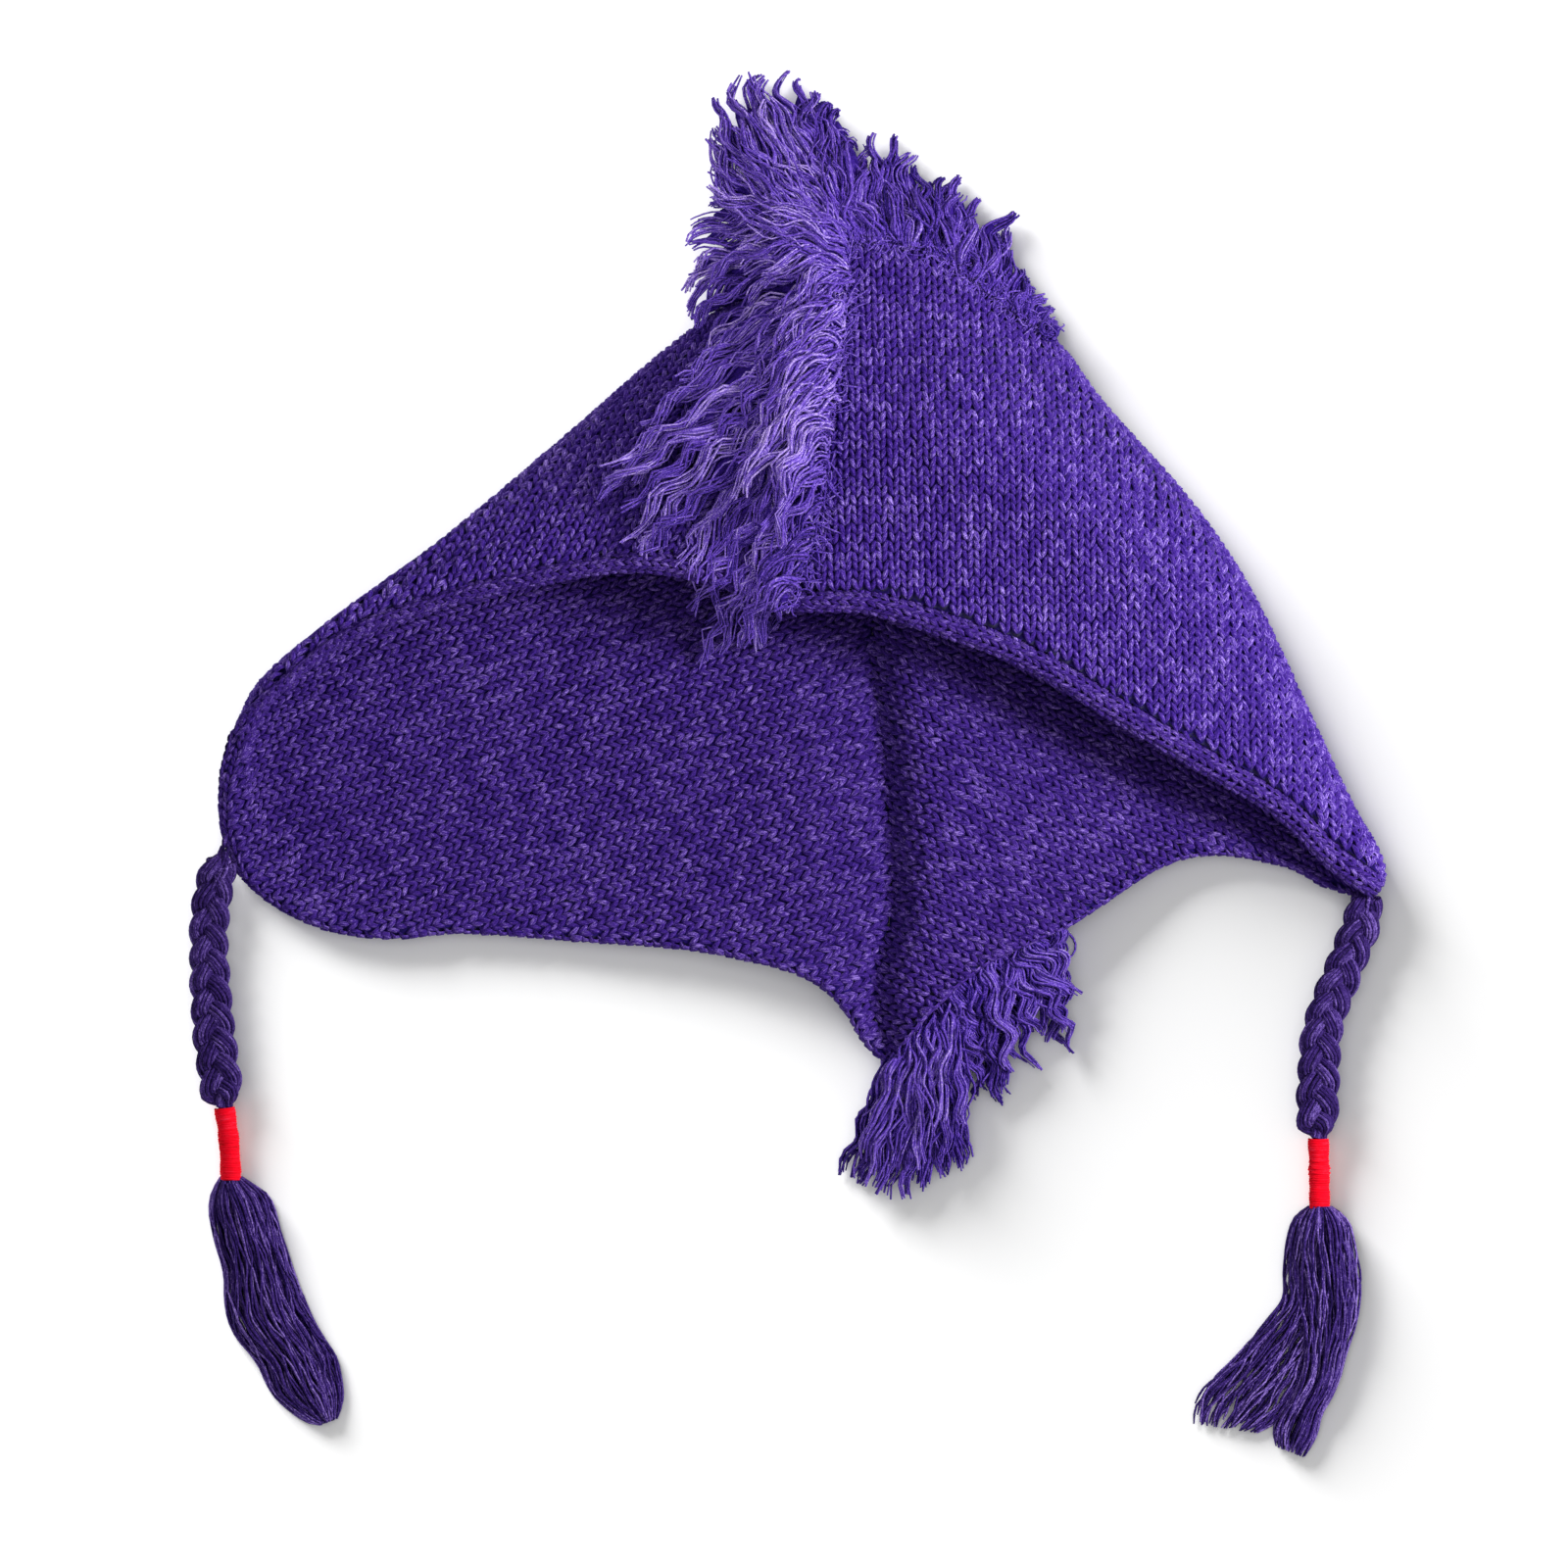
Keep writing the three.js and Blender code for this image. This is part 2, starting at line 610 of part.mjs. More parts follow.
// Tapered lock along a bent path; settle moves each point clear of what lies beside it
function lockSolid(root, standing, tip, radius, settle) {
  const beforeTip = tip.clone().lerp(standing, LOCK_SWEEP);
  const path = new THREE.CubicBezierCurve3(root, standing, beforeTip, tip);
  const rings = LOCK_SHAPE.map(({ run, thick }) => {
    const centre = path.getPoint(run);
    const ahead = path.getTangent(run);
    const sideways = new THREE.Vector3(-ahead.y, ahead.x, 0).normalize();
    const upwards = new THREE.Vector3().crossVectors(ahead, sideways);
    const ring = [];
    for (let i = 0; i < LOCK_SIDES; i++) {
      const angle = (i / LOCK_SIDES) * 2 * Math.PI;
      const point = centre.clone()
        .addScaledVector(sideways, radius * thick * Math.cos(angle))
        .addScaledVector(upwards, radius * thick * LOCK_FLATNESS * Math.sin(angle));
      ring.push(settle(point));
    }
    return ring;
  });
  return toManifold(ringSolid(rings, false));
}

// Height of the cap's outer face over or under a place, or null beside the cap
function faceHeight(outerMeshes, x, y, fromAbove) {
  const start = new THREE.Vector3(x, y, fromAbove ? RAY_START : -RAY_START);
  const ray = new THREE.Raycaster(start, new THREE.Vector3(0, 0, fromAbove ? -1 : 1));
  const hits = ray.intersectObjects(outerMeshes);
  return hits.length ? hits[0].point.z : null;
}

function fringeSolid(outerMeshes) {
  const { halfWidth, near, far, spans } = BACKING;
  const section = (along) => [
    overSeam(along, -halfWidth, near), overSeam(along, halfWidth, near),
    overSeam(along, halfWidth, far), overSeam(along, -halfWidth, far),
  ];
  const parts = [];
  for (const [from, to] of BACKING_RUNS) {
    const rings = [];
    for (let i = 0; i <= spans; i++) rings.push(section(mix(from, to, i / spans)));
    parts.push(toManifold(ringSolid(rings, false)));
  }
  for (const { along, tipX, tipY, over, stand, radius } of LOCKS) {
    const under = along > 2;
    const settle = (point) => {
      const face = faceHeight(outerMeshes, point.x, point.y, !under);
      if (under) point.z = Math.min(point.z, (face ?? point.z + 1) - GROWN);
      else point.z = Math.max(point.z, (face ?? 0) + GROWN);
      point.z = Math.max(point.z, 0);
      return point;
    };
    const root = overSeam(along, 0, LOCK_HEIGHT);
    const standing = overSeam(along, 0, LOCK_HEIGHT + stand);
    const face = faceHeight(outerMeshes, tipX, tipY, true);
    const tip = new THREE.Vector3(tipX, tipY, (under ? 0 : face ?? 0) + over + LOCK_HEIGHT);
    parts.push(lockSolid(root, standing, tip, radius, settle));
  }
  let whole = wasm.Manifold.union(parts);
  for (const half of ['left', 'right']) {
    whole = whole.subtract(toManifold(clearance(half, -GROWN, LINING_START)));
    whole = whole.subtract(toManifold(clearance(half, OUTER_WALL, LINING_END + GROWN)));
  }
  return fromManifold(largestOf(whole));
}

// Tube of a round section along a route
function tube(route, { radius, sides, steps }) {
  const shape = new THREE.Shape();
  for (let i = 0; i < sides; i++) {
    const angle = (i / sides) * 2 * Math.PI;
    const corner = [radius * Math.cos(angle), radius * Math.sin(angle)];
    if (i === 0) shape.moveTo(...corner);
    else shape.lineTo(...corner);
  }
  const extrudePath = new THREE.CatmullRomCurve3(route.map((point) => new THREE.Vector3(...point)));
  return new THREE.ExtrudeGeometry(shape, { steps, bevelEnabled: false, extrudePath });
}

function tasselSolid({ head, size, tips, bulge }) {
  const { radius, rootSpread, beltSpread, beltRun, beltHeight, tipHeight, lowest } = TASSEL_LOCK;
  const middle = new THREE.Vector3(...head);
  const knob = new THREE.SphereGeometry(1, TASSEL_HEAD.around, TASSEL_HEAD.down)
    .scale(...size).translate(...head);
  const settle = (point) => point.setZ(Math.max(point.z, lowest));
  const locks = tips.map(({ x, y }, i) => {
    const spread = (i / (tips.length - 1) - 0.5) * size[0];
    const root = middle.clone().add(new THREE.Vector3(spread * rootSpread, 0, 0));
    const beltX = middle.x + spread * beltSpread + bulge;
    const belt = new THREE.Vector3(beltX, mix(middle.y, y, beltRun), beltHeight);
    return lockSolid(root, belt, new THREE.Vector3(x, y, tipHeight), radius, settle);
  });
  return fromManifold(largestOf(wasm.Manifold.union([toManifold(knob), ...locks])));
}

const cap = new THREE.Group();

function addPiece(name, geometry, surface) {
  const mesh = new THREE.Mesh(geometry, new THREE.MeshStandardMaterial(SURFACE[surface]));
  mesh.name = name;
  cap.add(mesh);
  return mesh;
}

const outerMeshes = [];
for (const half of ['left', 'right']) {
  outerMeshes.push(addPiece(`outer_${half}`, panel(half, 0, OUTER_WALL, 0), 'outer'));
  const lining = panel(half, LINING_START, LINING_END, LINING_ROWS_SHORT);
  addPiece(`lining_${half}`, lining, 'lining');
}
outerMeshes.push(addPiece('rim_edge', rolledEdge(), 'edge'));
addPiece('mohawk_fringe', fringeSolid(outerMeshes), 'fringe');
for (const hand of ['left', 'right']) {
  addPiece(`braid_${hand}`, tube(PLAIT_ROUTES[hand], PLAIT), 'tie');
  addPiece(`wrap_${hand}`, tube(WHIPPING_ROUTES[hand], WHIPPING), 'thread');
  addPiece(`tassel_${hand}`, tasselSolid(TASSELS[hand]), 'tie');
}

export default cap;
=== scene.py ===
import json
import math

import bpy
import numpy as np
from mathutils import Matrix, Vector

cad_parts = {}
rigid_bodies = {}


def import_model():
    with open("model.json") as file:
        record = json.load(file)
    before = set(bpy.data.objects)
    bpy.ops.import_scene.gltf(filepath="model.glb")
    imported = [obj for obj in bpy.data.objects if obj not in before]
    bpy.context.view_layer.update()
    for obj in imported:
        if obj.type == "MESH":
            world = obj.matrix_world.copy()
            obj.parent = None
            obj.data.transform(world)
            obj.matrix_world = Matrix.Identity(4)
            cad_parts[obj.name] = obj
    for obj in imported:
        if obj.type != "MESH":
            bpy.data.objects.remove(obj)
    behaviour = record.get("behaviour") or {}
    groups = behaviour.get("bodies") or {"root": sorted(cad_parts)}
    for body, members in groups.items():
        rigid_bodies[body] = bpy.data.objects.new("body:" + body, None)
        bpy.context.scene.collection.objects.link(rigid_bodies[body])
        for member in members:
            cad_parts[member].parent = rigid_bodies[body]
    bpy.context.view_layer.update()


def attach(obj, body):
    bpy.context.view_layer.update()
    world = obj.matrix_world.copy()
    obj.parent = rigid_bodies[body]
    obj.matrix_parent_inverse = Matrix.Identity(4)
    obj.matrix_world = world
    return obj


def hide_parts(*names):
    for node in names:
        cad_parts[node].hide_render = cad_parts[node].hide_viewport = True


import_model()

# The look of a mohawk knit cap that lies on its back with its opening towards -Y.
# Shapes are worked out in millimetres, in the frame of the CAD part, and turned into
# metres when a mesh is made.
MM = 0.001
SEED = 11

# Walls of the knit, as in the CAD part
OUTER_WALL = 2.6
LINING_START = 2.9
LINING_END = 5.3
FOLD_RADIUS = 8.0
TURN_LIMIT = 0.3

# How far along the back layer the left fold takes to lie flat, by share of the way up
BACK_ROLL = {"up": [0, 0.3, 1], "width": [24, 12, FOLD_RADIUS]}

# Plan outlines, seen from above
LEFT_FOLD = [(-194, -35), (-186, -18), (-164.5, 1), (-123.5, 31), (-85, 63.5), (-36.5, 104.5), (9.5, 133.5)]
RIGHT_FOLD = [
    (193.5, -90), (197.5, -83.5), (195.5, -74), (187, -59), (170.5, -24), (151.5, 15.5), (131.5, 45),
    (101, 79.5), (88.5, 97.5),
]
RIDGE = [(9.5, 133.5), (29, 133), (47, 128), (67, 112.5), (88.5, 97.5)]
FRONT_RIM = [
    (-194, -35), (-182, -24), (-157, -4.5), (-121.5, 8.5), (-90.5, 16), (-58, 20.5), (-30, 16), (-8.5, 8),
    (20, 6.5), (45.5, -1), (73, -11.5), (108, -32), (136.5, -48.5), (161, -63), (178.5, -80), (193.5, -90),
]
BACK_RIM = [
    (-194, -35), (-198, -50), (-198.5, -61), (-197, -71), (-190, -84.5), (-168.5, -98), (-144, -103),
    (-117, -101.5), (-73.5, -104.5), (-40, -107), (-12, -112.5), (4, -118.5), (14, -128), (20, -138),
    (28, -144), (41, -130), (62, -112), (90, -99), (121.5, -79), (139.5, -75), (163.5, -79), (179, -86.5),
    (193.5, -90),
]

# Where the seam runs under the fringe, on the front and on the back layer
FRONT_SEAM = {"y": [8, 24, 44, 70, 104, 133.5], "x": [-7, -5, 0.5, 3.5, 8, 9.5]}
BACK_SEAM = {"y": [-144, -120, -96, -51, 2, 40, 97.5], "x": [28, 24, 29.5, 28, 23.5, 38, 88.5]}
SEAM_SETBACK = 6.0

# Height of the front layer over the folds, by share of the way from left to right
FRONT_RISE = {
    "across": [0, 0.12, 0.25, 0.4, 0.55, 0.7, 0.85, 1],
    "rim": [0, 5, 14, 26, 31, 27, 15, 0],
    "crown": [0, 8, 20, 34, 42, 38, 24, 0],
}
CROWN_FROM_RIM = 0.55
RIDGE_FALL_START = 0.4
GROOVE_DEPTH = 3.0
GROOVE_WIDTH = 9.0

# Height of the back layer over the floor, by distance to the right of its seam
BACK_SWELL = {
    "right": [-110, -60, -25, 0, 14, 35, 60, 85, 110],
    "height": [0, 3.5, 6, 5, 13, 11, 6, 2, 0],
}
SEAM_VALLEY = {"depth": 3.2, "width": 4.5}
BACK_REACH = 240.0
RIM_CURL_HEIGHT = 3.0
RIM_CURL_WIDTH = 26.0
EDGE_WIDTH = 8.0
RIDGE_END = 0.9999

# Knit: distance between wales and between courses, and which way the wales run in each panel
WALE = 4.1
COURSE = 3.1
WALES_RUN = {
    "outer_left": 60, "outer_right": 91, "lining_left": 20, "lining_right": -28,
    "under_left": 60, "under_right": 91,
}
YARN_RADIUS = 0.94
LEG_LEAN = 0.25
LEG_REACH = 0.78
LINING_SEEN = 36.0
LEG_STATIONS = 4
LEG_SIDES = 4
LEG_ARC = 1.75
HIDDEN_LEGS = {"size": 0.8, "stations": 3}
FOLD_LEGS = {"size": 0.95, "stations": 3}
FLAT_STEP = 0.0005
OUTLINE_SAMPLES = 260
LOT_SIZE = 500

# Stitches of each panel: its layer, how deep they lie, which way they face, how far from the rim
# they start, and how far in they reach where the cap hides the rest
STITCHES = {
    "outer": {"side": "front", "depth": 0.55, "facing": 1, "clear": 7.2, "yarn": "outer"},
    "under": {"side": "back", "depth": 1.9, "facing": 1, "clear": 6.0, "reach": 32.0, "yarn": "outer"},
    "lining": {"side": "back", "depth": LINING_END - 0.55, "facing": -1, "clear": 0.9, "yarn": "lining"},
}
# Sheets under the stitches, very dark as painted shade between the stitches: the depths of their faces, and
# how far up they end
SHEET_STEPS = 32
SHEETS = {
    "outer": {"start": 0.7, "end": OUTER_WALL, "last": RIDGE_END},
    "lining": {"start": LINING_START, "end": LINING_END - 0.7, "last": 0.985},
}

# Photograph: its size, how many of its pixels make a millimetre, and the pixel over the origin
PHOTO_PIXELS = 1600
PIXELS_PER_MM = 3.0
ORIGIN_PIXEL = (820, 646)
CAMERA_HEIGHT = 4.0
SENSOR_WIDTH = 36.0


# The camera looks straight down, as the photograph does
def make_camera():
    middle = PHOTO_PIXELS / 2
    data = bpy.data.cameras.new("camera")
    data.sensor_width = SENSOR_WIDTH
    data.lens = SENSOR_WIDTH * CAMERA_HEIGHT / (PHOTO_PIXELS / PIXELS_PER_MM * MM)
    data.clip_end = 50
    camera = bpy.data.objects.new("camera", data)
    camera.location = (
        (middle - ORIGIN_PIXEL[0]) / PIXELS_PER_MM * MM,
        (ORIGIN_PIXEL[1] - middle) / PIXELS_PER_MM * MM,
        CAMERA_HEIGHT,
    )
    bpy.context.collection.objects.link(camera)
    bpy.context.scene.camera = camera


# Smooth curve through known values, for a whole array of places at once
def smooth_value(knots, values, at):
    knots = np.asarray(knots, float)
    values = np.asarray(values, float)
    last = len(knots) - 1
    place = np.clip(at, knots[0], knots[-1])
    low = np.clip(np.searchsorted(knots, place, side="left") - 1, 0, last - 1)
    order = np.arange(last + 1)
    before = np.maximum(order - 1, 0)
    after = np.minimum(order + 1, last)
    slopes = (values[after] - values[before]) / (knots[after] - knots[before])
    span = knots[low + 1] - knots[low]
    s = (place - knots[low]) / span
    ease = s * s * (3 - 2 * s)
    leave = s * (1 - s) ** 2 * span * slopes[low]
    arrive = s * s * (s - 1) * span * slopes[low + 1]
    return values[low] * (1 - ease) + values[low + 1] * ease + leave + arrive


# Share eased at both ends
def ease_in_out(s):
    return s * s * (3 - 2 * s)


def mix(a, b, share):
    return a + (b - a) * share


def unit(v):
    return v / np.maximum(np.linalg.norm(v, axis=-1, keepdims=True), 1e-9)


# Length run along points, from nothing at the first
def run_along(points):
    steps = np.linalg.norm(np.diff(points, axis=-2), axis=-1)
    return np.concatenate([np.zeros(steps.shape[:-1] + (1,)), np.cumsum(steps, axis=-1)], axis=-1)


# Rows of values read between their knots, for a whole array of places
def between(at, knots, rows):
    return np.stack([np.interp(at, knots, rows[:, k]) for k in range(rows.shape[1])], axis=-1)


# Plan points given a height each
def raised(plan, height):
    return np.concatenate([plan[:, :2], np.broadcast_to(height, len(plan))[:, None]], axis=1)


# A plan line through points, run by its share of the whole length
class PlanLine:
    def __init__(self, rows):
        self.points = np.array(rows, float)
        self.knots = run_along(self.points)
        self.length = self.knots[-1]

    def point(self, share):
        at = np.asarray(share, float) * self.length
        x = smooth_value(self.knots, self.points[:, 0], at)
        y = smooth_value(self.knots, self.points[:, 1], at)
        return np.stack([x, y], axis=-1)

    def heading(self, share):
        a = self.point(np.maximum(share - 0.002, 0))
        b = self.point(np.minimum(share + 0.002, 1))
        return unit(b - a)


left_fold = PlanLine(LEFT_FOLD)
right_fold = PlanLine(RIGHT_FOLD)
ridge = PlanLine(RIDGE)
rims = {"front": PlanLine(FRONT_RIM), "back": PlanLine(BACK_RIM)}


# Where a seam runs at a place up the layer, in plan
def seam_x(side, y):
    rows = FRONT_SEAM if side == "front" else BACK_SEAM
    return smooth_value(rows["y"], rows["x"], y)


# A layer's plan, blended from its four boundary lines
def plan_point(side, across, up):
    across = np.asarray(across, float)
    up = np.asarray(up, float)
    rim = rims[side]
    a = across[..., None]
    u = up[..., None]
    rows = mix(rim.point(across), ridge.point(across), u)
    columns = mix(left_fold.point(up), right_fold.point(up), a)
    corners = mix(mix(rim.point(0.0), rim.point(1.0), a), mix(ridge.point(0.0), ridge.point(1.0), a), u)
    return rows + columns - corners


# How far two plan ways turn from each other, times their lengths
def cross(a, b):
    return a[..., 0] * b[..., 1] - a[..., 1] * b[..., 0]


# Share of the layer that a fold's rounding takes up
def turn_share(side, fold, at, width):
    step = 0.01
    flat = np.zeros_like(at)
    if fold == "left":
        away = plan_point(side, flat + step, at) - plan_point(side, flat, at)
        along = left_fold.heading(at)
    elif fold == "right":
        away = plan_point(side, flat + 1 - step, at) - plan_point(side, flat + 1, at)
        along = right_fold.heading(at)
    else:
        away = plan_point(side, at, flat + 1 - step) - plan_point(side, at, flat + 1)
        along = ridge.heading(at)
    speed = np.abs(cross(away, along)) / step
    return np.minimum(width / np.maximum(speed, 1e-6), TURN_LIMIT)


# How much each fold turns a place, and which way in plan
def turns(side, across, up):
    width = smooth_value(BACK_ROLL["up"], BACK_ROLL["width"], up) if side == "back" else FOLD_RADIUS
    places = [
        (across / turn_share(side, "left", up, width), left_fold.heading(up), 1),
        ((1 - across) / turn_share(side, "right", up, FOLD_RADIUS), right_fold.heading(up), -1),
        ((1 - up) / turn_share(side, "ridge", across, FOLD_RADIUS), ridge.heading(across), 1),
    ]
    found = []
    for share, along, hand in places:
        left = 1 - np.clip(share, 0, 1)
        inward = hand * np.stack([along[..., 1], -along[..., 0]], axis=-1)
        found.append((left, inward))
    return found


# Points of the cap, in millimetres
def bag_point(side, across, up, depth):
    across = np.asarray(across, float)
    up = np.asarray(up, float)
    across, up = np.broadcast_arrays(across, up)
    plan = plan_point(side, across, up)
    flat = np.ones_like(across)
    total = np.zeros_like(across)
    inward = np.zeros_like(plan)
    for left, way in turns(side, across, up):
        flat = flat * np.sqrt(np.maximum(1 - left * left, 0))
        total = total + left
        inward = inward + left[..., None] * way
    inset = depth / np.maximum(total, 1)
    xy = plan + inset[..., None] * inward
    turned = (FOLD_RADIUS - depth) * flat
    off_seam = plan[..., 0] - seam_x(side, plan[..., 1])
    lift = flat * flat
    if side == "front":
        rim_rise = smooth_value(FRONT_RISE["across"], FRONT_RISE["rim"], across)
        crown_rise = smooth_value(FRONT_RISE["across"], FRONT_RISE["crown"], across)
        rise = mix(rim_rise, crown_rise, ease_in_out(np.clip(up / CROWN_FROM_RIM, 0, 1)))
        fall = 1 - ease_in_out(np.clip((up - RIDGE_FALL_START) / (1 - RIDGE_FALL_START), 0, 1))
        groove = GROOVE_DEPTH * np.exp(-((off_seam / GROOVE_WIDTH) ** 2))
        z = FOLD_RADIUS + turned + (rise - groove) * fall * lift
    else:
        curl = RIM_CURL_HEIGHT * np.clip(1 - up * BACK_REACH / RIM_CURL_WIDTH, 0, 1) ** 2
        swell = smooth_value(BACK_SWELL["right"], BACK_SWELL["height"], off_seam)
        swell = swell - SEAM_VALLEY["depth"] * np.exp(-(((off_seam - 1) / SEAM_VALLEY["width"]) ** 2))
        z = FOLD_RADIUS - turned + (swell + curl) * lift
    return np.concatenate([xy, z[..., None]], axis=-1)


# Length of the row from the left to the right fold
def row_length(side, up):
    return mix(rims[side].length, ridge.length, up)


# Where a seam crosses a layer, as a share from left to right
def seam_share(side, up):
    up = np.asarray(up, float)
    low = np.zeros_like(up)
    high = np.ones_like(up)
    for _ in range(40):
        middle = (low + high) / 2
        plan = plan_point(side, middle, up)
        short = plan[..., 0] < seam_x(side, plan[..., 1])
        low = np.where(short, middle, low)
        high = np.where(short, high, middle)
    setback = SEAM_SETBACK / row_length(side, up)
    return np.clip(low, setback, 1 - setback)


# Share from rim to ridge that a distance inward from the rim comes to
def share_inward(side, across, inward):
    a = plan_point(side, across, np.zeros_like(across))
    b = plan_point(side, across, np.zeros_like(across) + 0.02)
    return inward * 0.02 / np.linalg.norm(b - a, axis=-1)


# Mesh object from vertices in millimetres, quads or triangles, and named corner values
def make_mesh(name, vertices, faces, material, maps=None, smooth=True):
    mesh = bpy.data.meshes.new(name)
    vertices = np.asarray(vertices, float).reshape(-1, 3) * MM
    faces = np.asarray(faces, np.int32)
    sides = faces.shape[1]
    mesh.vertices.add(len(vertices))
    mesh.vertices.foreach_set("co", vertices.ravel())
    mesh.loops.add(faces.size)
    mesh.loops.foreach_set("vertex_index", faces.ravel())
    mesh.polygons.add(len(faces))
    mesh.polygons.foreach_set("loop_start", np.arange(0, faces.size, sides, dtype=np.int32))
    mesh.update(calc_edges=True)
    mesh.polygons.foreach_set("use_smooth", np.full(len(faces), smooth))
    for title, values in (maps or {}).items():
        layer = mesh.uv_layers.new(name=title)
        corner = np.asarray(values, float)[faces.ravel()]
        layer.data.foreach_set("uv", corner.ravel())
    mesh.validate()
    mesh.materials.append(material)
    piece = bpy.data.objects.new(name, mesh)
    bpy.context.collection.objects.link(piece)
    return piece


# One object made of several
def join(pieces, name):
    bpy.ops.object.select_all(action="DESELECT")
    for piece in pieces:
        piece.select_set(True)
    bpy.context.view_layer.objects.active = pieces[0]
    bpy.ops.object.join()
    pieces[0].name = name
    return pieces[0]


# A way that no tube runs in, near to straight up
UP_HINT = np.array([0.13, 0.07, 1.0])


# Tubes along many paths at once: paths are (count, stations, 3), radii (count, stations); with an
# arc they are open strips that reach that angle to both sides of the way up
def tube_arrays(paths, radii, sides, up_hint=UP_HINT, arc=None):
    count, stations = radii.shape
    ahead = unit(np.gradient(paths, axis=1))
    sideways = unit(np.cross(ahead, np.broadcast_to(up_hint, paths.shape)))
    upwards = np.cross(sideways, ahead)
    if arc is None:
        angles = np.arange(sides) / sides * 2 * math.pi
    else:
        angles = np.linspace(-arc, arc, sides)
    ring = (
        np.sin(angles)[None, None, :, None] * sideways[:, :, None, :]
        + np.cos(angles)[None, None, :, None] * upwards[:, :, None, :]
    )
    points = paths[:, :, None, :] + ring * radii[:, :, None, None]
    index = np.arange(count * stations * sides).reshape(count, stations, sides)
    if arc is None:
        index = np.concatenate([index, index[:, :, :1]], axis=2)
    corners = [index[:, :-1, :-1], index[:, 1:, :-1], index[:, 1:, 1:], index[:, :-1, 1:]]
    faces = np.stack(corners, axis=-1).reshape(-1, 4)
    along, around = np.meshgrid(np.linspace(0, 1, stations), np.linspace(0, 1, sides), indexing="ij")
    uv = np.tile(np.stack([along, around], axis=-1).reshape(-1, 2), (count, 1))
    return points.reshape(-1, 3), faces, uv


# A value of each tube, given to all its points
def per_tube(values, stations, sides):
    return np.repeat(np.asarray(values, float), stations * sides, axis=0)


# Mesh of tubes; lots gives each tube a place in its yarn's pattern and a paleness
def tube_mesh(name, paths, radii, sides, yarn, lots, pattern=1.0, **turned):
    points, faces, uv = tube_arrays(paths, radii, sides, **turned)
    lots = per_tube(lots, paths.shape[1], sides)
    return make_mesh(name, points, faces, materials[yarn], {"along": uv * pattern, "lot": lots})


# Linear colour from the red, green and blue of a picture, 0 to 255
def colour(red, green, blue):
    def linear(value):
        value = value / 255
        return value / 12.92 if value <= 0.04045 else ((value + 0.055) / 1.055) ** 2.4
    return (linear(red), linear(green), linear(blue), 1)


SHEEN_ROUGHNESS = 0.5
SPECULAR = 0.12


# Node tree of one material
class Nodes:
    def __init__(self, name):
        self.material = bpy.data.materials.new(name)
        self.material.use_nodes = True
        self.tree = self.material.node_tree
        self.tree.nodes.clear()

    def add(self, kind, settings=None, **inputs):
        node = self.tree.nodes.new(kind)
        for key, value in (settings or {}).items():
            setattr(node, key, value)
        for key, value in inputs.items():
            self.put(node, key.replace("_", " "), value)
        return node

    def put(self, node, key, value):
        socket = node.inputs[int(key)] if key.isdigit() else node.inputs[key]
        if isinstance(value, bpy.types.NodeSocket):
            self.tree.links.new(value, socket)
        else:
            socket.default_value = value

    def maths(self, operation, a, b=0.0):
        node = self.add("ShaderNodeMath", {"operation": operation})
        self.put(node, "0", a)
        self.put(node, "1", b)
        return node.outputs[0]

    def noise(self, vector, scale, detail, rough):
        node = self.add("ShaderNodeTexNoise", None, Scale=scale, Detail=detail, Roughness=rough)
        self.put(node, "Vector", vector)
        return node.outputs["Fac"]

    def ramp(self, factor, stops):
        node = self.add("ShaderNodeValToRGB")
        self.put(node, "Fac", factor)
        elements = node.color_ramp.elements
        elements[0].position, elements[0].color = stops[0]
        elements[1].position, elements[1].color = stops[-1]
        for position, shade in stops[1:-1]:
            element = elements.new(position)
            element.color = shade
        return node.outputs["Color"]

    def blend(self, factor, a, b):
        node = self.add("ShaderNodeMix", {"data_type": "RGBA"})
        for key, value in (("0", factor), ("6", a), ("7", b)):
            self.put(node, key, value)
        return node.outputs[2]

    def shader(self, base, roughness, sheen=0.0, tint=None, height=None, bump=0.0, distance=0.0):
        shader = self.add("ShaderNodeBsdfPrincipled")
        self.put(shader, "Base Color", base)
        self.put(shader, "Roughness", roughness)
        self.put(shader, "Sheen Weight", sheen)
        self.put(shader, "Sheen Roughness", SHEEN_ROUGHNESS)
        self.put(shader, "Specular IOR Level", SPECULAR)
        if tint:
            self.put(shader, "Sheen Tint", tint)
        if height is not None:
            node = self.add("ShaderNodeBump", None, Strength=bump, Distance=distance, Height=height)
            self.put(shader, "Normal", node.outputs[0])
        out = self.add("ShaderNodeOutputMaterial")
        self.tree.links.new(shader.outputs[0], out.inputs["Surface"])
        return self.material
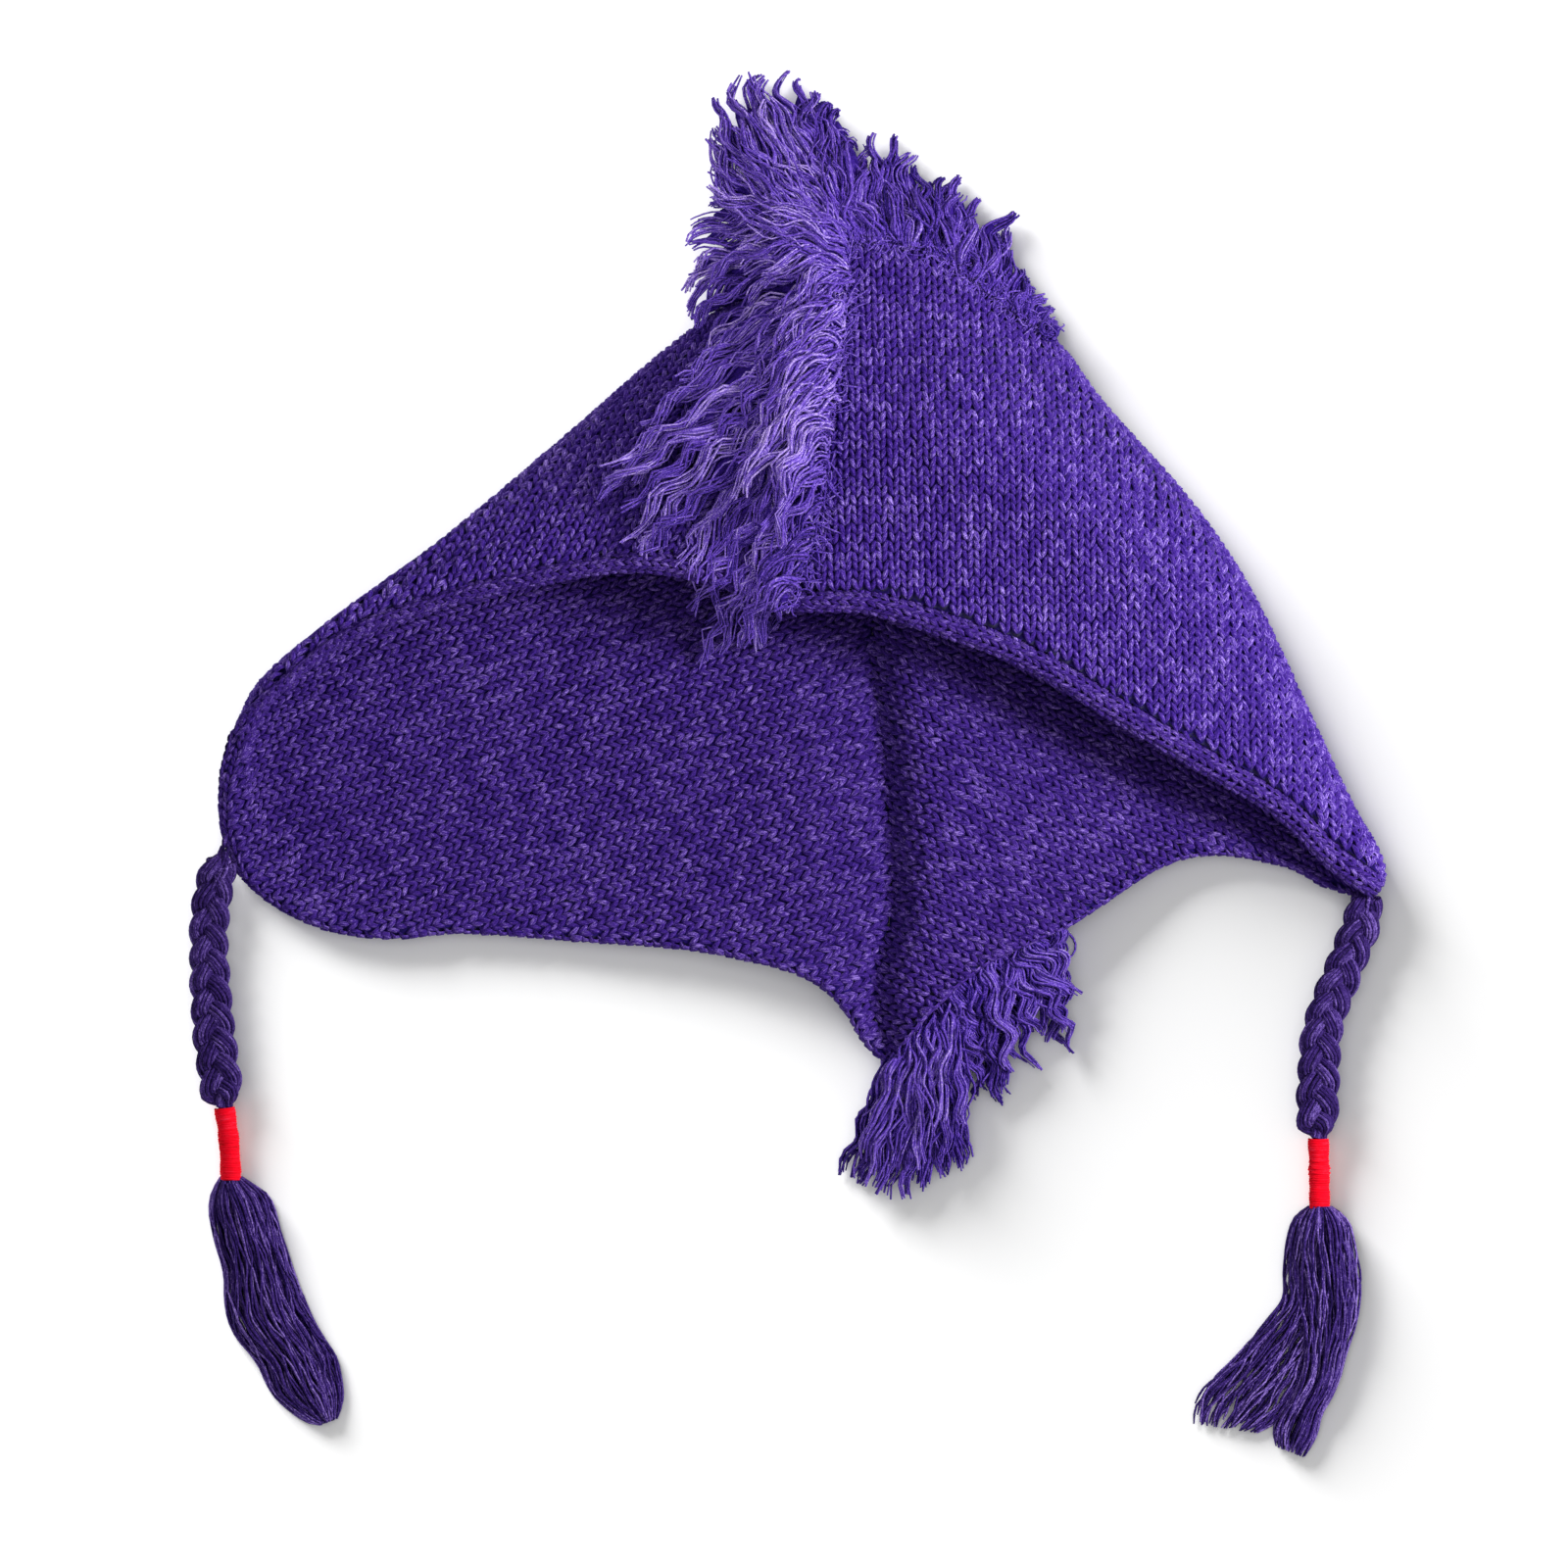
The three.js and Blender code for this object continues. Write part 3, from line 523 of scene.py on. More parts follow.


# Yarn: a dark tone, heathered body and pale fibres that run along the yarn; ends says how
# much painted shade darkens a stitch towards its two ends, where it dives under the next one
def yarn_material(name, dark, body, pale, along=3.0, around=9.0, fibre=0.65, sheen=0.1, ends=0.0, lots=0.1):
    n = Nodes(name)
    uv = n.add("ShaderNodeUVMap", {"uv_map": "along"}).outputs[0]
    lot = n.add("ShaderNodeUVMap", {"uv_map": "lot"}).outputs[0]
    place = n.add("ShaderNodeTexCoord").outputs["Object"]
    split_uv = n.add("ShaderNodeSeparateXYZ", None, Vector=uv)
    split_lot = n.add("ShaderNodeSeparateXYZ", None, Vector=lot)
    streak_place = n.add("ShaderNodeCombineXYZ")
    n.put(streak_place, "X", n.maths("MULTIPLY", split_uv.outputs[0], along))
    n.put(streak_place, "Y", n.maths("MULTIPLY", split_uv.outputs[1], around))
    n.put(streak_place, "Z", n.maths("MULTIPLY", split_lot.outputs[0], 40.0))
    streaks = n.noise(streak_place.outputs[0], 1.0, 3.0, 0.65)
    specks = n.noise(place, 2100.0, 2.0, 0.6)
    patches = n.noise(place, 60.0, 2.0, 0.5)
    tone = n.maths("ADD", n.maths("MULTIPLY", streaks, fibre), n.maths("MULTIPLY", specks, 1 - fibre))
    tone = n.maths("ADD", tone, n.maths("MULTIPLY", n.maths("SUBTRACT", split_lot.outputs[1], 0.5), lots))
    tone = n.maths("ADD", tone, n.maths("MULTIPLY", n.maths("SUBTRACT", patches, 0.5), 0.06))
    base = n.ramp(tone, [(0.37, dark), (0.49, body), (0.54, body), (0.67, pale)])
    # Painted shade: the dark tone is blended in towards both ends of each stitch
    if ends:
        from_middle = n.maths("SUBTRACT", n.maths("MULTIPLY", split_uv.outputs[0], 2.0), 1.0)
        painted_dive_shade = n.maths("MULTIPLY", n.maths("POWER", n.maths("ABSOLUTE", from_middle), 3.0), ends)
        base = n.blend(painted_dive_shade, base, dark)
    return n.shader(base, 0.85, sheen, pale, tone, 0.6, 0.0006)


# Plain knit for hidden faces and the sheets under the stitches: wales and courses drawn as relief and
# painted shade, in very dark colours that stand for the shade between stitches
def shaded_backing_material(name, dark, body):
    n = Nodes(name)
    place = n.add("ShaderNodeTexCoord").outputs["Object"]
    split = n.add("ShaderNodeSeparateXYZ", None, Vector=place)
    wale = n.maths("MULTIPLY", split.outputs[0], 2 * math.pi / (WALE * MM))
    course = n.maths("MULTIPLY", split.outputs[1], 2 * math.pi / (COURSE * MM))
    leg = n.maths("ABSOLUTE", n.maths("SINE", n.maths("MULTIPLY", wale, 0.5)))
    slant = n.maths("ADD", course, n.maths("MULTIPLY", leg, 2.6))
    stitch = n.maths("MULTIPLY", n.maths("ADD", n.maths("SINE", slant), 1.0), 0.5)
    height = n.maths("MULTIPLY", stitch, n.maths("ADD", n.maths("MULTIPLY", leg, 0.7), 0.3))
    fuzz = n.noise(place, 1500.0, 2.0, 0.6)
    tone = n.maths("ADD", n.maths("MULTIPLY", height, 0.75), n.maths("MULTIPLY", fuzz, 0.3))
    # Painted shade: darker where the drawn stitches sink
    base = n.ramp(tone, [(0.1, dark), (0.75, body)])
    return n.shader(base, 0.95, 0.15, None, tone, 0.8, 0.0011)


# Yarns: the red, green and blue of their dark tone, body and pale fibres, and what else sets them apart
# Painted shade at both ends of every stitch, where it dives under the next one
PAINTED_STITCH_END_SHADE = {"ends": 0.9}
YARNS = {
    "outer": {"colours": [(24, 0, 98), (76, 43, 152), (184, 154, 248)], "look": PAINTED_STITCH_END_SHADE},
    # The lining and edge yarns are the outer yarn made darker: painted shade inside the cap and along its
    # rim
    "lining": {"colours": [(20, 0, 84), (68, 37, 137), (160, 130, 222)], "look": PAINTED_STITCH_END_SHADE},
    "edge": {"colours": [(18, 0, 80), (68, 37, 137), (160, 130, 222)], "look": PAINTED_STITCH_END_SHADE},
    "fringe": {
        "colours": [(30, 0, 112), (112, 76, 198), (214, 188, 255)],
        "look": {"along": 26.0, "around": 3.0, "fibre": 0.5, "lots": 0.22},
    },
    # Felted yarn, darker than the fringe: painted shade deep in the fringe and nape locks, seen between
    # strands
    "shaded_felt": {
        "name": "felted yarn, painted shade",
        "colours": [(20, 0, 84), (60, 30, 140), (108, 76, 192)],
        "look": {"along": 5.0, "around": 3.0},
    },
    "tie": {
        "colours": [(14, 0, 50), (58, 34, 110), (140, 112, 200)],
        "look": {"along": 75.0, "around": 4.0, "fibre": 0.55, "lots": 0.16},
    },
    "tassel": {
        "colours": [(15, 0, 62), (68, 41, 130), (170, 140, 230)],
        "look": {"along": 60.0, "around": 4.0, "fibre": 0.55, "lots": 0.22},
    },
    "thread": {
        "name": "red thread",
        "colours": [(215, 0, 20), (255, 0, 36), (255, 50, 80)],
        "look": {"along": 60.0, "around": 3.0, "fibre": 0.8, "sheen": 0.02},
    },
}
materials = {}
for yarn, facts in YARNS.items():
    shades = [colour(*shade) for shade in facts["colours"]]
    materials[yarn] = yarn_material(facts.get("name", f"{yarn} yarn"), *shades, **facts["look"])
# Very dark colours: painted shade seen between the stitches of the panels and of the rolled edge
materials["gap"] = shaded_backing_material("shaded knit", colour(16, 0, 72), colour(32, 5, 106))


# Flat coordinates of a place, with the rounding at the folds rolled out
def rolled_out(side, across, up, angle):
    plan = plan_point(side, across, up)
    for left, inward in turns(side, across, up):
        extra = FOLD_RADIUS * (np.arcsin(left) - left)
        plan = plan - extra[..., None] * inward
    c = math.cos(math.radians(angle - 90))
    s = math.sin(math.radians(angle - 90))
    return np.stack([plan[..., 0] * c + plan[..., 1] * s, -plan[..., 0] * s + plan[..., 1] * c], axis=-1)


# How much a move in flat coordinates changes a place's shares of the layer
def share_moves(side, across, up, angle, move):
    here = rolled_out(side, across, up, angle)
    da = (rolled_out(side, across + FLAT_STEP, up, angle) - here) / FLAT_STEP
    du = (rolled_out(side, across, up + FLAT_STEP, angle) - here) / FLAT_STEP
    area = cross(da, du)
    area = np.where(np.abs(area) < 1, 1, area)
    return cross(move, du) / area, cross(da, move) / area


# Finds the place on a layer that lies at each given flat coordinate
def places_of(side, targets, angle):
    a_grid, u_grid = np.meshgrid(np.linspace(0.004, 0.996, 110), np.linspace(0.004, 0.996, 90))
    a_grid = a_grid.ravel()
    u_grid = u_grid.ravel()
    known = rolled_out(side, a_grid, u_grid, angle)
    across = np.empty(len(targets))
    up = np.empty(len(targets))
    for start in range(0, len(targets), LOT_SIZE):
        some = slice(start, start + LOT_SIZE)
        far = ((targets[some, None, :] - known[None, :, :]) ** 2).sum(axis=2)
        nearest = far.argmin(axis=1)
        across[some] = a_grid[nearest]
        up[some] = u_grid[nearest]
    for _ in range(8):
        miss = targets - rolled_out(side, across, up, angle)
        move_a, move_u = share_moves(side, across, up, angle, miss)
        across = np.clip(across + np.clip(move_a, -0.03, 0.03), 0.0008, 0.9992)
        up = np.clip(up + np.clip(move_u, -0.03, 0.03), 0.0008, 0.9996)
    miss = np.linalg.norm(targets - rolled_out(side, across, up, angle), axis=1)
    return across, up, miss < 0.5


# Moves points that lie past a plan line back onto it; hand is 1 where outside is on its left
def kept_inside(points, line, hand, margin):
    samples = line.point(np.linspace(0, 1, OUTLINE_SAMPLES))
    heading = unit(np.gradient(samples, axis=0))
    flat = points.reshape(-1, 3)
    for start in range(0, len(flat), 8 * LOT_SIZE):
        some = flat[start:start + 8 * LOT_SIZE]
        away = some[:, None, :2] - samples[None, :, :]
        nearest = (away ** 2).sum(axis=2).argmin(axis=1)
        ahead = heading[nearest]
        past = hand * cross(ahead, away[np.arange(len(some)), nearest]) - margin
        beside = (nearest > 1) & (nearest < OUTLINE_SAMPLES - 2) & (past < 9)
        past = np.where(beside, np.maximum(past, 0), 0)
        some[:, 0] += hand * past * ahead[:, 1]
        some[:, 1] -= hand * past * ahead[:, 0]
    return flat.reshape(points.shape)


# Legs of V stitches laid on a frame of centre, course way, wale way and outward way
def leg_mesh(name, centre, right, ahead, out, yarn, random, size=1.0, stations=LEG_STATIONS):
    count = len(centre)
    s = np.linspace(-1, 1, stations)
    stretch = np.sqrt(np.linalg.norm(right, axis=1) * np.linalg.norm(ahead, axis=1))[:, None]
    stretch = np.clip(stretch, 0.75, 1.12)
    found = []
    for hand in (-1, 1):
        slide = random.normal(0, 0.16, (count, 2))
        lean = random.normal(0, 0.1, (count, 1))
        p = hand * WALE * (0.25 + LEG_LEAN * s)[None, :] + slide[:, :1] + lean * s[None, :]
        q = COURSE * LEG_REACH * s[None, :] + slide[:, 1:]
        lift = (0.85 - 1.75 * s ** 2)[None, :] * (1 + random.normal(0, 0.18, (count, 1)))
        path = (
            centre[:, None, :]
            + right[:, None, :] * p[..., None]
            + ahead[:, None, :] * q[..., None]
            + out[:, None, :] * lift[..., None]
        )
        thick = YARN_RADIUS * size * (1 - 0.45 * s ** 2)[None, :] * stretch
        thick = thick * (1 + random.normal(0, 0.09, (count, 1)))
        found.append((path, thick, np.broadcast_to(out[:, None, :], path.shape), random.random((count, 2))))
    paths, radii, outs, lots = [np.concatenate(parts) for parts in zip(*found)]
    paths = kept_inside(paths, left_fold, 1, -0.5)
    paths = kept_inside(paths, right_fold, -1, -0.5)
    if yarn == "lining":
        paths = kept_inside(paths, rims["back"], -1, -0.7)
    return tube_mesh(name, paths, radii, LEG_SIDES, yarn, lots, up_hint=outs, arc=LEG_ARC)


# Vectors with their lengths kept between two limits
def limited(vectors, low=0.8, high=1.7):
    length = np.linalg.norm(vectors, axis=1, keepdims=True)
    return vectors / np.maximum(length, 1e-9) * np.clip(length, low, high)


# Stitches of one half of a panel
def stitched_panel(panel, half, random):
    facts = STITCHES[panel]
    side = facts["side"]
    reach = facts.get("reach")
    angle = WALES_RUN[f"{panel}_{half}"]
    a_grid, u_grid = np.meshgrid(np.linspace(0, 1, 60), np.linspace(0, 1, 60))
    flat = rolled_out(side, a_grid.ravel(), u_grid.ravel(), angle)
    low = flat.min(axis=0)
    high = flat.max(axis=0)
    p = np.arange(low[0], high[0], WALE)
    q = np.arange(low[1], high[1], COURSE)
    targets = np.stack(np.meshgrid(p, q), axis=-1).reshape(-1, 2)
    near = ((targets[:, None, :] - flat[None, :, :]) ** 2).sum(axis=2).min(axis=1) < 64
    targets = targets[near]
    across, up, found = places_of(side, targets, angle)
    seam = seam_share(side, up)
    from_seam = (across - seam) * row_length(side, up)
    on_half = from_seam > -0.4 if half == "right" else from_seam < 0.4
    inward = up / share_inward(side, across, 1.0)
    keep = found & on_half & (inward > facts["clear"])
    if panel == "lining":
        plan = plan_point(side, across, up)
        front_rim_y = np.interp(plan[:, 0], rims["front"].points[:, 0], rims["front"].points[:, 1])
        keep = keep & (plan[:, 1] < front_rim_y + LINING_SEEN)
    if reach:
        to_fold = np.minimum(across, 1 - across) * row_length(side, up)
        to_ridge = (1 - up) * 200
        keep = keep & (np.minimum(np.minimum(to_fold, to_ridge), inward) < reach) & (to_fold > 3)
    across = across[keep]
    up = up[keep]
    inward = inward[keep]
    sharp = 1.0 + 1.5 * ease_in_out(np.clip((across - 0.4) / 0.2, 0, 1))
    dip = sharp * np.exp(-(((inward - EDGE_WIDTH) / 1.9) ** 2)) if side == "front" else 0.0 * inward
    off_fold = np.minimum(across, 1 - across) * row_length(side, up)
    depth = facts["depth"] + dip + 0.9 * np.exp(-((off_fold / 5) ** 2))
    centre = bag_point(side, across, up, depth)
    ahead = face_step(side, across, up, depth, angle, (0.0, 1.0))
    right = face_step(side, across, up, depth, angle, (1.0, 0.0))
    out = unit(np.cross(right, ahead)) * (facts["facing"] if side == "front" else -facts["facing"])
    sizes = HIDDEN_LEGS if reach else {}
    return leg_mesh(f"{panel}_{half} stitches", centre, right, ahead, out, facts["yarn"], random, **sizes)


# How the outer or inner face moves with a step of one millimetre in flat coordinates
def face_step(side, across, up, depth, angle, move):
    move_a, move_u = share_moves(side, across, up, angle, np.array([move]))
    leaves = (across + move_a < 0) | (across + move_a > 1) | (up + move_u < 0) | (up + move_u > RIDGE_END)
    way = np.where(leaves, -1.0, 1.0)
    new_a = np.clip(across + way * move_a, 0, 1)
    new_u = np.clip(up + way * move_u, 0, RIDGE_END)
    change = bag_point(side, new_a, new_u, depth) - bag_point(side, across, up, depth)
    off_fold = np.minimum(across, 1 - across) * row_length(side, up)
    return limited(change * way[:, None], 0.8, np.interp(off_fold, [4, 9], [1.1, 1.7])[:, None])


# Closed sheet under the stitches, from the rolled edge to the ridge and from seam to fold to seam; very
# dark, as painted shade seen between the stitches
def panel_sheet(panel, half):
    facts = SHEETS[panel]
    fold = 1 if half == "right" else 0
    columns = []
    for index, side in enumerate(("front", "back") if half == "right" else ("back", "front")):
        for i in range(index, SHEET_STEPS + 1):
            share = ease_in_out(i / SHEET_STEPS)
            columns.append((side, 1 - share if index else share))
    rows = 1 - (1 - np.linspace(0, 1, SHEET_STEPS)) ** 1.8
    faces_of = []
    for depth in (facts["start"], facts["end"]):
        grid = []
        for side, to_fold in columns:
            rim_across = np.array([mix(seam_share(side, 0.0), fold, to_fold)])
            first = share_inward(side, rim_across, EDGE_WIDTH + 0.6)[0]
            up = mix(first, facts["last"], rows)
            gap = math.copysign(0.3, fold - 0.5) / row_length(side, up)
            across = mix(seam_share(side, up) + gap, fold, to_fold)
            grid.append(bag_point(side, across, up, depth))
        faces_of.append(np.array(grid))
    outside, inside = faces_of
    count_i, count_j = outside.shape[:2]
    vertices = np.concatenate([outside.reshape(-1, 3), inside.reshape(-1, 3)])
    o = np.arange(count_i * count_j).reshape(count_i, count_j)
    n = o + count_i * count_j
    quads = [
        np.stack([o[:-1, :-1], o[:-1, 1:], o[1:, 1:], o[1:, :-1]], axis=-1).reshape(-1, 4),
        np.stack([n[:-1, :-1], n[1:, :-1], n[1:, 1:], n[:-1, 1:]], axis=-1).reshape(-1, 4),
        np.stack([o[0, :-1], n[0, :-1], n[0, 1:], o[0, 1:]], axis=-1),
        np.stack([o[-1, :-1], o[-1, 1:], n[-1, 1:], n[-1, :-1]], axis=-1),
        np.stack([o[:-1, 0], o[1:, 0], n[1:, 0], n[:-1, 0]], axis=-1),
        np.stack([o[:-1, -1], n[:-1, -1], n[1:, -1], o[1:, -1]], axis=-1),
    ]
    return make_mesh(f"{panel} {half} sheet", vertices, np.concatenate(quads), materials["gap"])


# What a piece rides on, and which node it replaces
def finish_piece(piece, node):
    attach(piece, "root")
    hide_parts(node)


# Rows of stitches round the side folds: the layer of each, and how many degrees it is turned
FOLD_ROWS = [("front", 56), ("front", 84), ("back", 80), ("back", 50)]
FOLD_DEPTH = 0.6


# Places on a fold's rounding, by degrees that the fold is turned there
def fold_place(side, half, up, degrees, depth=FOLD_DEPTH):
    width = FOLD_RADIUS
    if side == "back" and half == "left":
        width = smooth_value(BACK_ROLL["up"], BACK_ROLL["width"], up)
    share = (1 - math.sin(math.radians(degrees))) * turn_share(side, half, up, width)
    across = share if half == "left" else 1 - share
    return bag_point(side, across, up, np.full(up.shape, depth))


def fold_stitches(half, random):
    line = left_fold if half == "left" else right_fold
    courses = int(line.length / COURSE)
    up = 0.02 + 0.96 * (np.arange(courses) + 0.5) / courses
    step = 0.5 / line.length
    found = []
    for side, degrees in FOLD_ROWS:
        centre = fold_place(side, half, up, degrees)
        before = fold_place(side, half, up - step, degrees)
        ahead = limited(fold_place(side, half, up + step, degrees) - before, 0.8, 1.2)
        right = unit(fold_place(side, half, up, degrees - 4) - fold_place(side, half, up, degrees + 4))
        out = unit(np.cross(right, ahead))
        inner = fold_place(side, half, up, degrees, FOLD_DEPTH + 3.0)
        facing_in = np.sum((centre - inner) * out, axis=1) < 0
        found.append((centre, right, ahead, np.where(facing_in[:, None], -out, out)))
    centre, right, ahead, out = [np.concatenate(parts) for parts in zip(*found)]
    return leg_mesh(f"fold {half} stitches", centre, right, ahead, out, "outer", random, **FOLD_LEGS)


def make_panels(random):
    for half in ("left", "right"):
        outer = [panel_sheet("outer", half)]
        outer += [stitched_panel("outer", half, random), stitched_panel("under", half, random)]
        outer.append(fold_stitches(half, random))
        finish_piece(join(outer, f"outer_knit_{half}"), f"outer_{half}")
        lining = [panel_sheet("lining", half), stitched_panel("lining", half, random)]
        finish_piece(join(lining, f"lining_knit_{half}"), f"lining_{half}")


# The rolled edge: its section by distance from the rim and depth, from the outer face round to the inner
EDGE_SECTION = {
    "inward": [7.6, 6.5, 4.0, 1.5, 0.35, 0.35, 1.5, 4.0, 6.6, 8.3],
    "depth": [3.0, 0.7, -1.0, -0.1, 1.6, 3.7, 5.1, 5.5, 5.4, 4.4],
}
EDGE_RUN = run_along(np.stack([EDGE_SECTION["inward"], EDGE_SECTION["depth"]], axis=-1))
EDGE_WALES = 6
EDGE_CORE = {"stations": 460, "sides": 14, "size": 0.84}


# Places on the rolled edge, by run along the rim and run round the section
def edge_place(rim_run, section_run):
    front = rims["front"].length
    section_run = np.broadcast_to(section_run, rim_run.shape)
    inward = smooth_value(EDGE_RUN, EDGE_SECTION["inward"], section_run)
    depth = smooth_value(EDGE_RUN, EDGE_SECTION["depth"], section_run)
    on_front = rim_run < front
    front_across = np.clip(rim_run / front, 0, 1)
    back_across = np.clip(1 - (rim_run - front) / rims["back"].length, 0, 1)
    points = np.empty(rim_run.shape + (3,))
    for side, across, chosen in (("front", front_across, on_front), ("back", back_across, ~on_front)):
        up = share_inward(side, across[chosen], inward[chosen])
        points[chosen] = bag_point(side, across[chosen], up, depth[chosen])
    return points


# Where the yarn of each plait is sewn to the rim: two ends of the row of its stitches, and the
# place in the plait that the yarn runs to
TIE_ROOTS = [
    {"from": (-196.6, -68.5, 8.5), "to": (-194.6, -82.5, 8.0), "into": (-200.4, -89.0, 7.2)},
    {"from": (186.5, -88.0, 7.5), "to": (193.0, -88.5, 9.5), "into": (188.8, -99.5, 7.1)},
]


def tie_roots(random):
    from_k, to_k, into_k = columns_of(TIE_ROOTS, "from", "to", "into")
    yarns = 16
    stations = 9
    order = np.repeat(np.arange(len(TIE_ROOTS)), yarns)
    share = np.tile(np.linspace(0, 1, yarns), len(TIE_ROOTS))[:, None]
    root = mix(from_k[order], to_k[order], share) + random.normal(0, 0.4, (len(order), 3))
    end = into_k[order] + random.normal(0, 1.0, (len(order), 3)) * np.array([2.4, 0.8, 1.6])
    over = mix(root, end, 0.4) + np.array([0.0, 0.0, 3.2])
    paths = bezier(root, over, mix(over, end, 0.6), end, stations)
    radii = np.full((len(order), stations), PLY_RADIUS)
    return tube_mesh("tie roots", paths, radii, 5, "tie", random.random((len(order), 2)), pattern=0.15)


# Closed ring inside the stitches of the edge, very dark as painted shade seen between them
def edge_core(around):
    stations = EDGE_CORE["stations"]
    sides = EDGE_CORE["sides"]
    runs = np.linspace(0, around, stations, endpoint=False)
    ring = np.stack([edge_place(runs, section) for section in np.linspace(0, EDGE_RUN[-1], sides)], axis=1)
    middle = ring.mean(axis=1, keepdims=True)
    ring = middle + (ring - middle) * EDGE_CORE["size"]
    index = np.arange(stations * sides).reshape(stations, sides)
    following = np.roll(index, -1, axis=0)
    faces = np.stack([index, np.roll(index, -1, axis=1), np.roll(following, -1, axis=1), following], axis=-1)
    return make_mesh("edge body", ring.reshape(-1, 3), faces.reshape(-1, 4), materials["gap"])


def make_edge(random):
    around = rims["front"].length + rims["back"].length
    last = EDGE_RUN[-1]
    courses = round(around / COURSE)
    rim_run, section_run = np.meshgrid(
        (np.arange(courses) + 0.5) / courses * around,
        (np.arange(EDGE_WALES) + 0.5) / EDGE_WALES * last,
    )
    hidden = (rim_run > rims["front"].length) & (section_run > EDGE_RUN[6])
    rim_run = rim_run[~hidden]
    section_run = section_run[~hidden]
    centre = edge_place(rim_run, section_run)
    half = 0.5
    right = limited(edge_place(rim_run, section_run - half) - edge_place(rim_run, section_run + half))
    after = edge_place((rim_run + half) % around, section_run)
    ahead = limited(after - edge_place((rim_run - half) % around, section_run))
    right = right * (last / EDGE_WALES / WALE)
    out = unit(np.cross(right, ahead))
    inner = mix(edge_place(rim_run, 1.5), edge_place(rim_run, last - 1.5), 0.5)
    core = mix(inner, edge_place(rim_run, last / 2), 0.35)
    flip = np.sum((centre - core) * out, axis=1) < 0
    out = np.where(flip[:, None], -out, out)
    legs = leg_mesh("edge stitches", centre - out * 0.45, right, ahead, out, "edge", random, 0.95)
    piece = join([edge_core(around), legs, tie_roots(random)], "rolled_edge")
    finish_piece(piece, "rim_edge")


# Plaits: routes repeated from the CAD part, in millimetres
PLAIT_ROUTES = {
    "left": [
        (-197.7, -77.2, 7.4), (-200, -86, 7.2), (-201.1, -92, 7), (-201.8, -97.5, 6.9),
        (-202, -103, 6.8), (-201.9, -109, 6.8), (-201.6, -115, 6.8), (-201.3, -120.5, 6.8),
        (-201, -126, 6.8), (-200.6, -132, 6.8), (-200, -138, 6.8), (-199.2, -143.5, 6.8),
        (-198.5, -149.5, 6.8), (-197.7, -155, 6.8), (-196.8, -161, 6.8),
    ],
    "right": [
        (190.9, -90, 7.4), (189.8, -97.5, 7.2), (188.4, -101.6, 7), (186.6, -106.4, 6.9),
        (184.7, -111, 6.8), (182.9, -115.6, 6.8), (181.1, -120.3, 6.8), (179.2, -125, 6.8),
        (177.4, -129.7, 6.8), (176.1, -134.7, 6.8), (175.4, -140, 6.8), (175.1, -146.5, 6.8),
        (174.7, -154, 6.8), (174.5, -162, 6.8), (174.8, -171.5, 6.8),
    ],
}
WHIPPING_ROUTES = {
    "left": [(-196.7, -161.4, 6), (-195.6, -169, 5.4), (-194.9, -177, 5), (-194.6, -185.6, 5)],
    "right": [(174.8, -171.9, 6), (175.1, -180, 5.4), (175.2, -188, 5), (175.3, -195.5, 5)],
}


ROUTE_STEPS = 60


# Even steps along a smooth route
def route_points(route, count):
    route = np.array(route, float)
    knots = run_along(route)
    at = np.linspace(0, knots[-1], count)
    return np.stack([smooth_value(knots, values, at) for values in route.T], axis=-1), knots[-1]


# Ways to the side of a route and up from it
def side_frame(points):
    ahead = unit(np.gradient(points, axis=0))
    sideways = unit(np.cross(ahead, np.array([0.0, 0.0, 1.0])))
    return sideways, np.cross(sideways, ahead)


# Plait: length of a full turn, how far its strands swing and rise, and its strands and plies
PLAIT_STATIONS = 84
PLAIT_TURN = 27.0
PLAIT_SWING = 3.7
PLAIT_RISE = 2.0
STRAND_RADIUS = 2.75
PLY_RADIUS = 0.66
PLIES = 15
# How far the strands keep apart near the root and near the whipping, by distance from each
PLAIT_PULL = {
    "root": [0, 6, 30], "root_pull": [0.8, 1.0, 1.0],
    "end": [25, 5, 1.5], "end_pull": [1.1, 1.1, 0.4],
}


def make_plait(hand, random):
    line, length = route_points(PLAIT_ROUTES[hand], PLAIT_STATIONS)
    sideways, upwards = side_frame(line)
    run = np.linspace(0, length, PLAIT_STATIONS)
    ends = [length - distance for distance in PLAIT_PULL["end"]]
    pull = np.interp(run, PLAIT_PULL["root"] + ends, PLAIT_PULL["root_pull"] + PLAIT_PULL["end_pull"])
    paths = []
    radii = []
    for strand in range(3):
        turn = 2 * math.pi * (run / PLAIT_TURN + strand / 3)
        swing = PLAIT_SWING * np.sin(turn)
        rise = PLAIT_RISE * np.sin(2 * turn)
        middle = line + sideways * (swing * pull)[:, None] + upwards * (rise * pull)[:, None]
        forward = unit(np.gradient(middle, axis=0))
        across = unit(np.cross(forward, upwards))
        over = np.cross(across, forward)
        for ply in range(PLIES):
            reach = 0 if ply == PLIES - 1 else STRAND_RADIUS - PLY_RADIUS + 0.2
            angle = 2 * math.pi * (ply / (PLIES - 1) + run / 60) + strand
            wobble = random.normal(0, 0.12, 2)
            path = middle + across * ((reach * np.cos(angle) * 1.12 + wobble[0]) * pull)[:, None]
            path = path + over * ((reach * np.sin(angle) * 0.9 + wobble[1]) * pull)[:, None]
            paths.append(path)
            radii.append(np.full(PLAIT_STATIONS, PLY_RADIUS) * (1 + random.normal(0, 0.05)))
    paths = np.array(paths)
    paths[..., 2] = np.maximum(paths[..., 2], PLY_RADIUS + 0.1)
    return tube_mesh(f"plait_{hand}", paths, np.array(radii), 4, "tie", random.random((len(paths), 2)))


# Thread wound round the end of a plait: distance between its turns, and steps in a turn
THREAD = {"pitch": 0.8, "steps": 14, "radius": 0.5, "wound_radius": 3.15, "core_radius": 3.0}


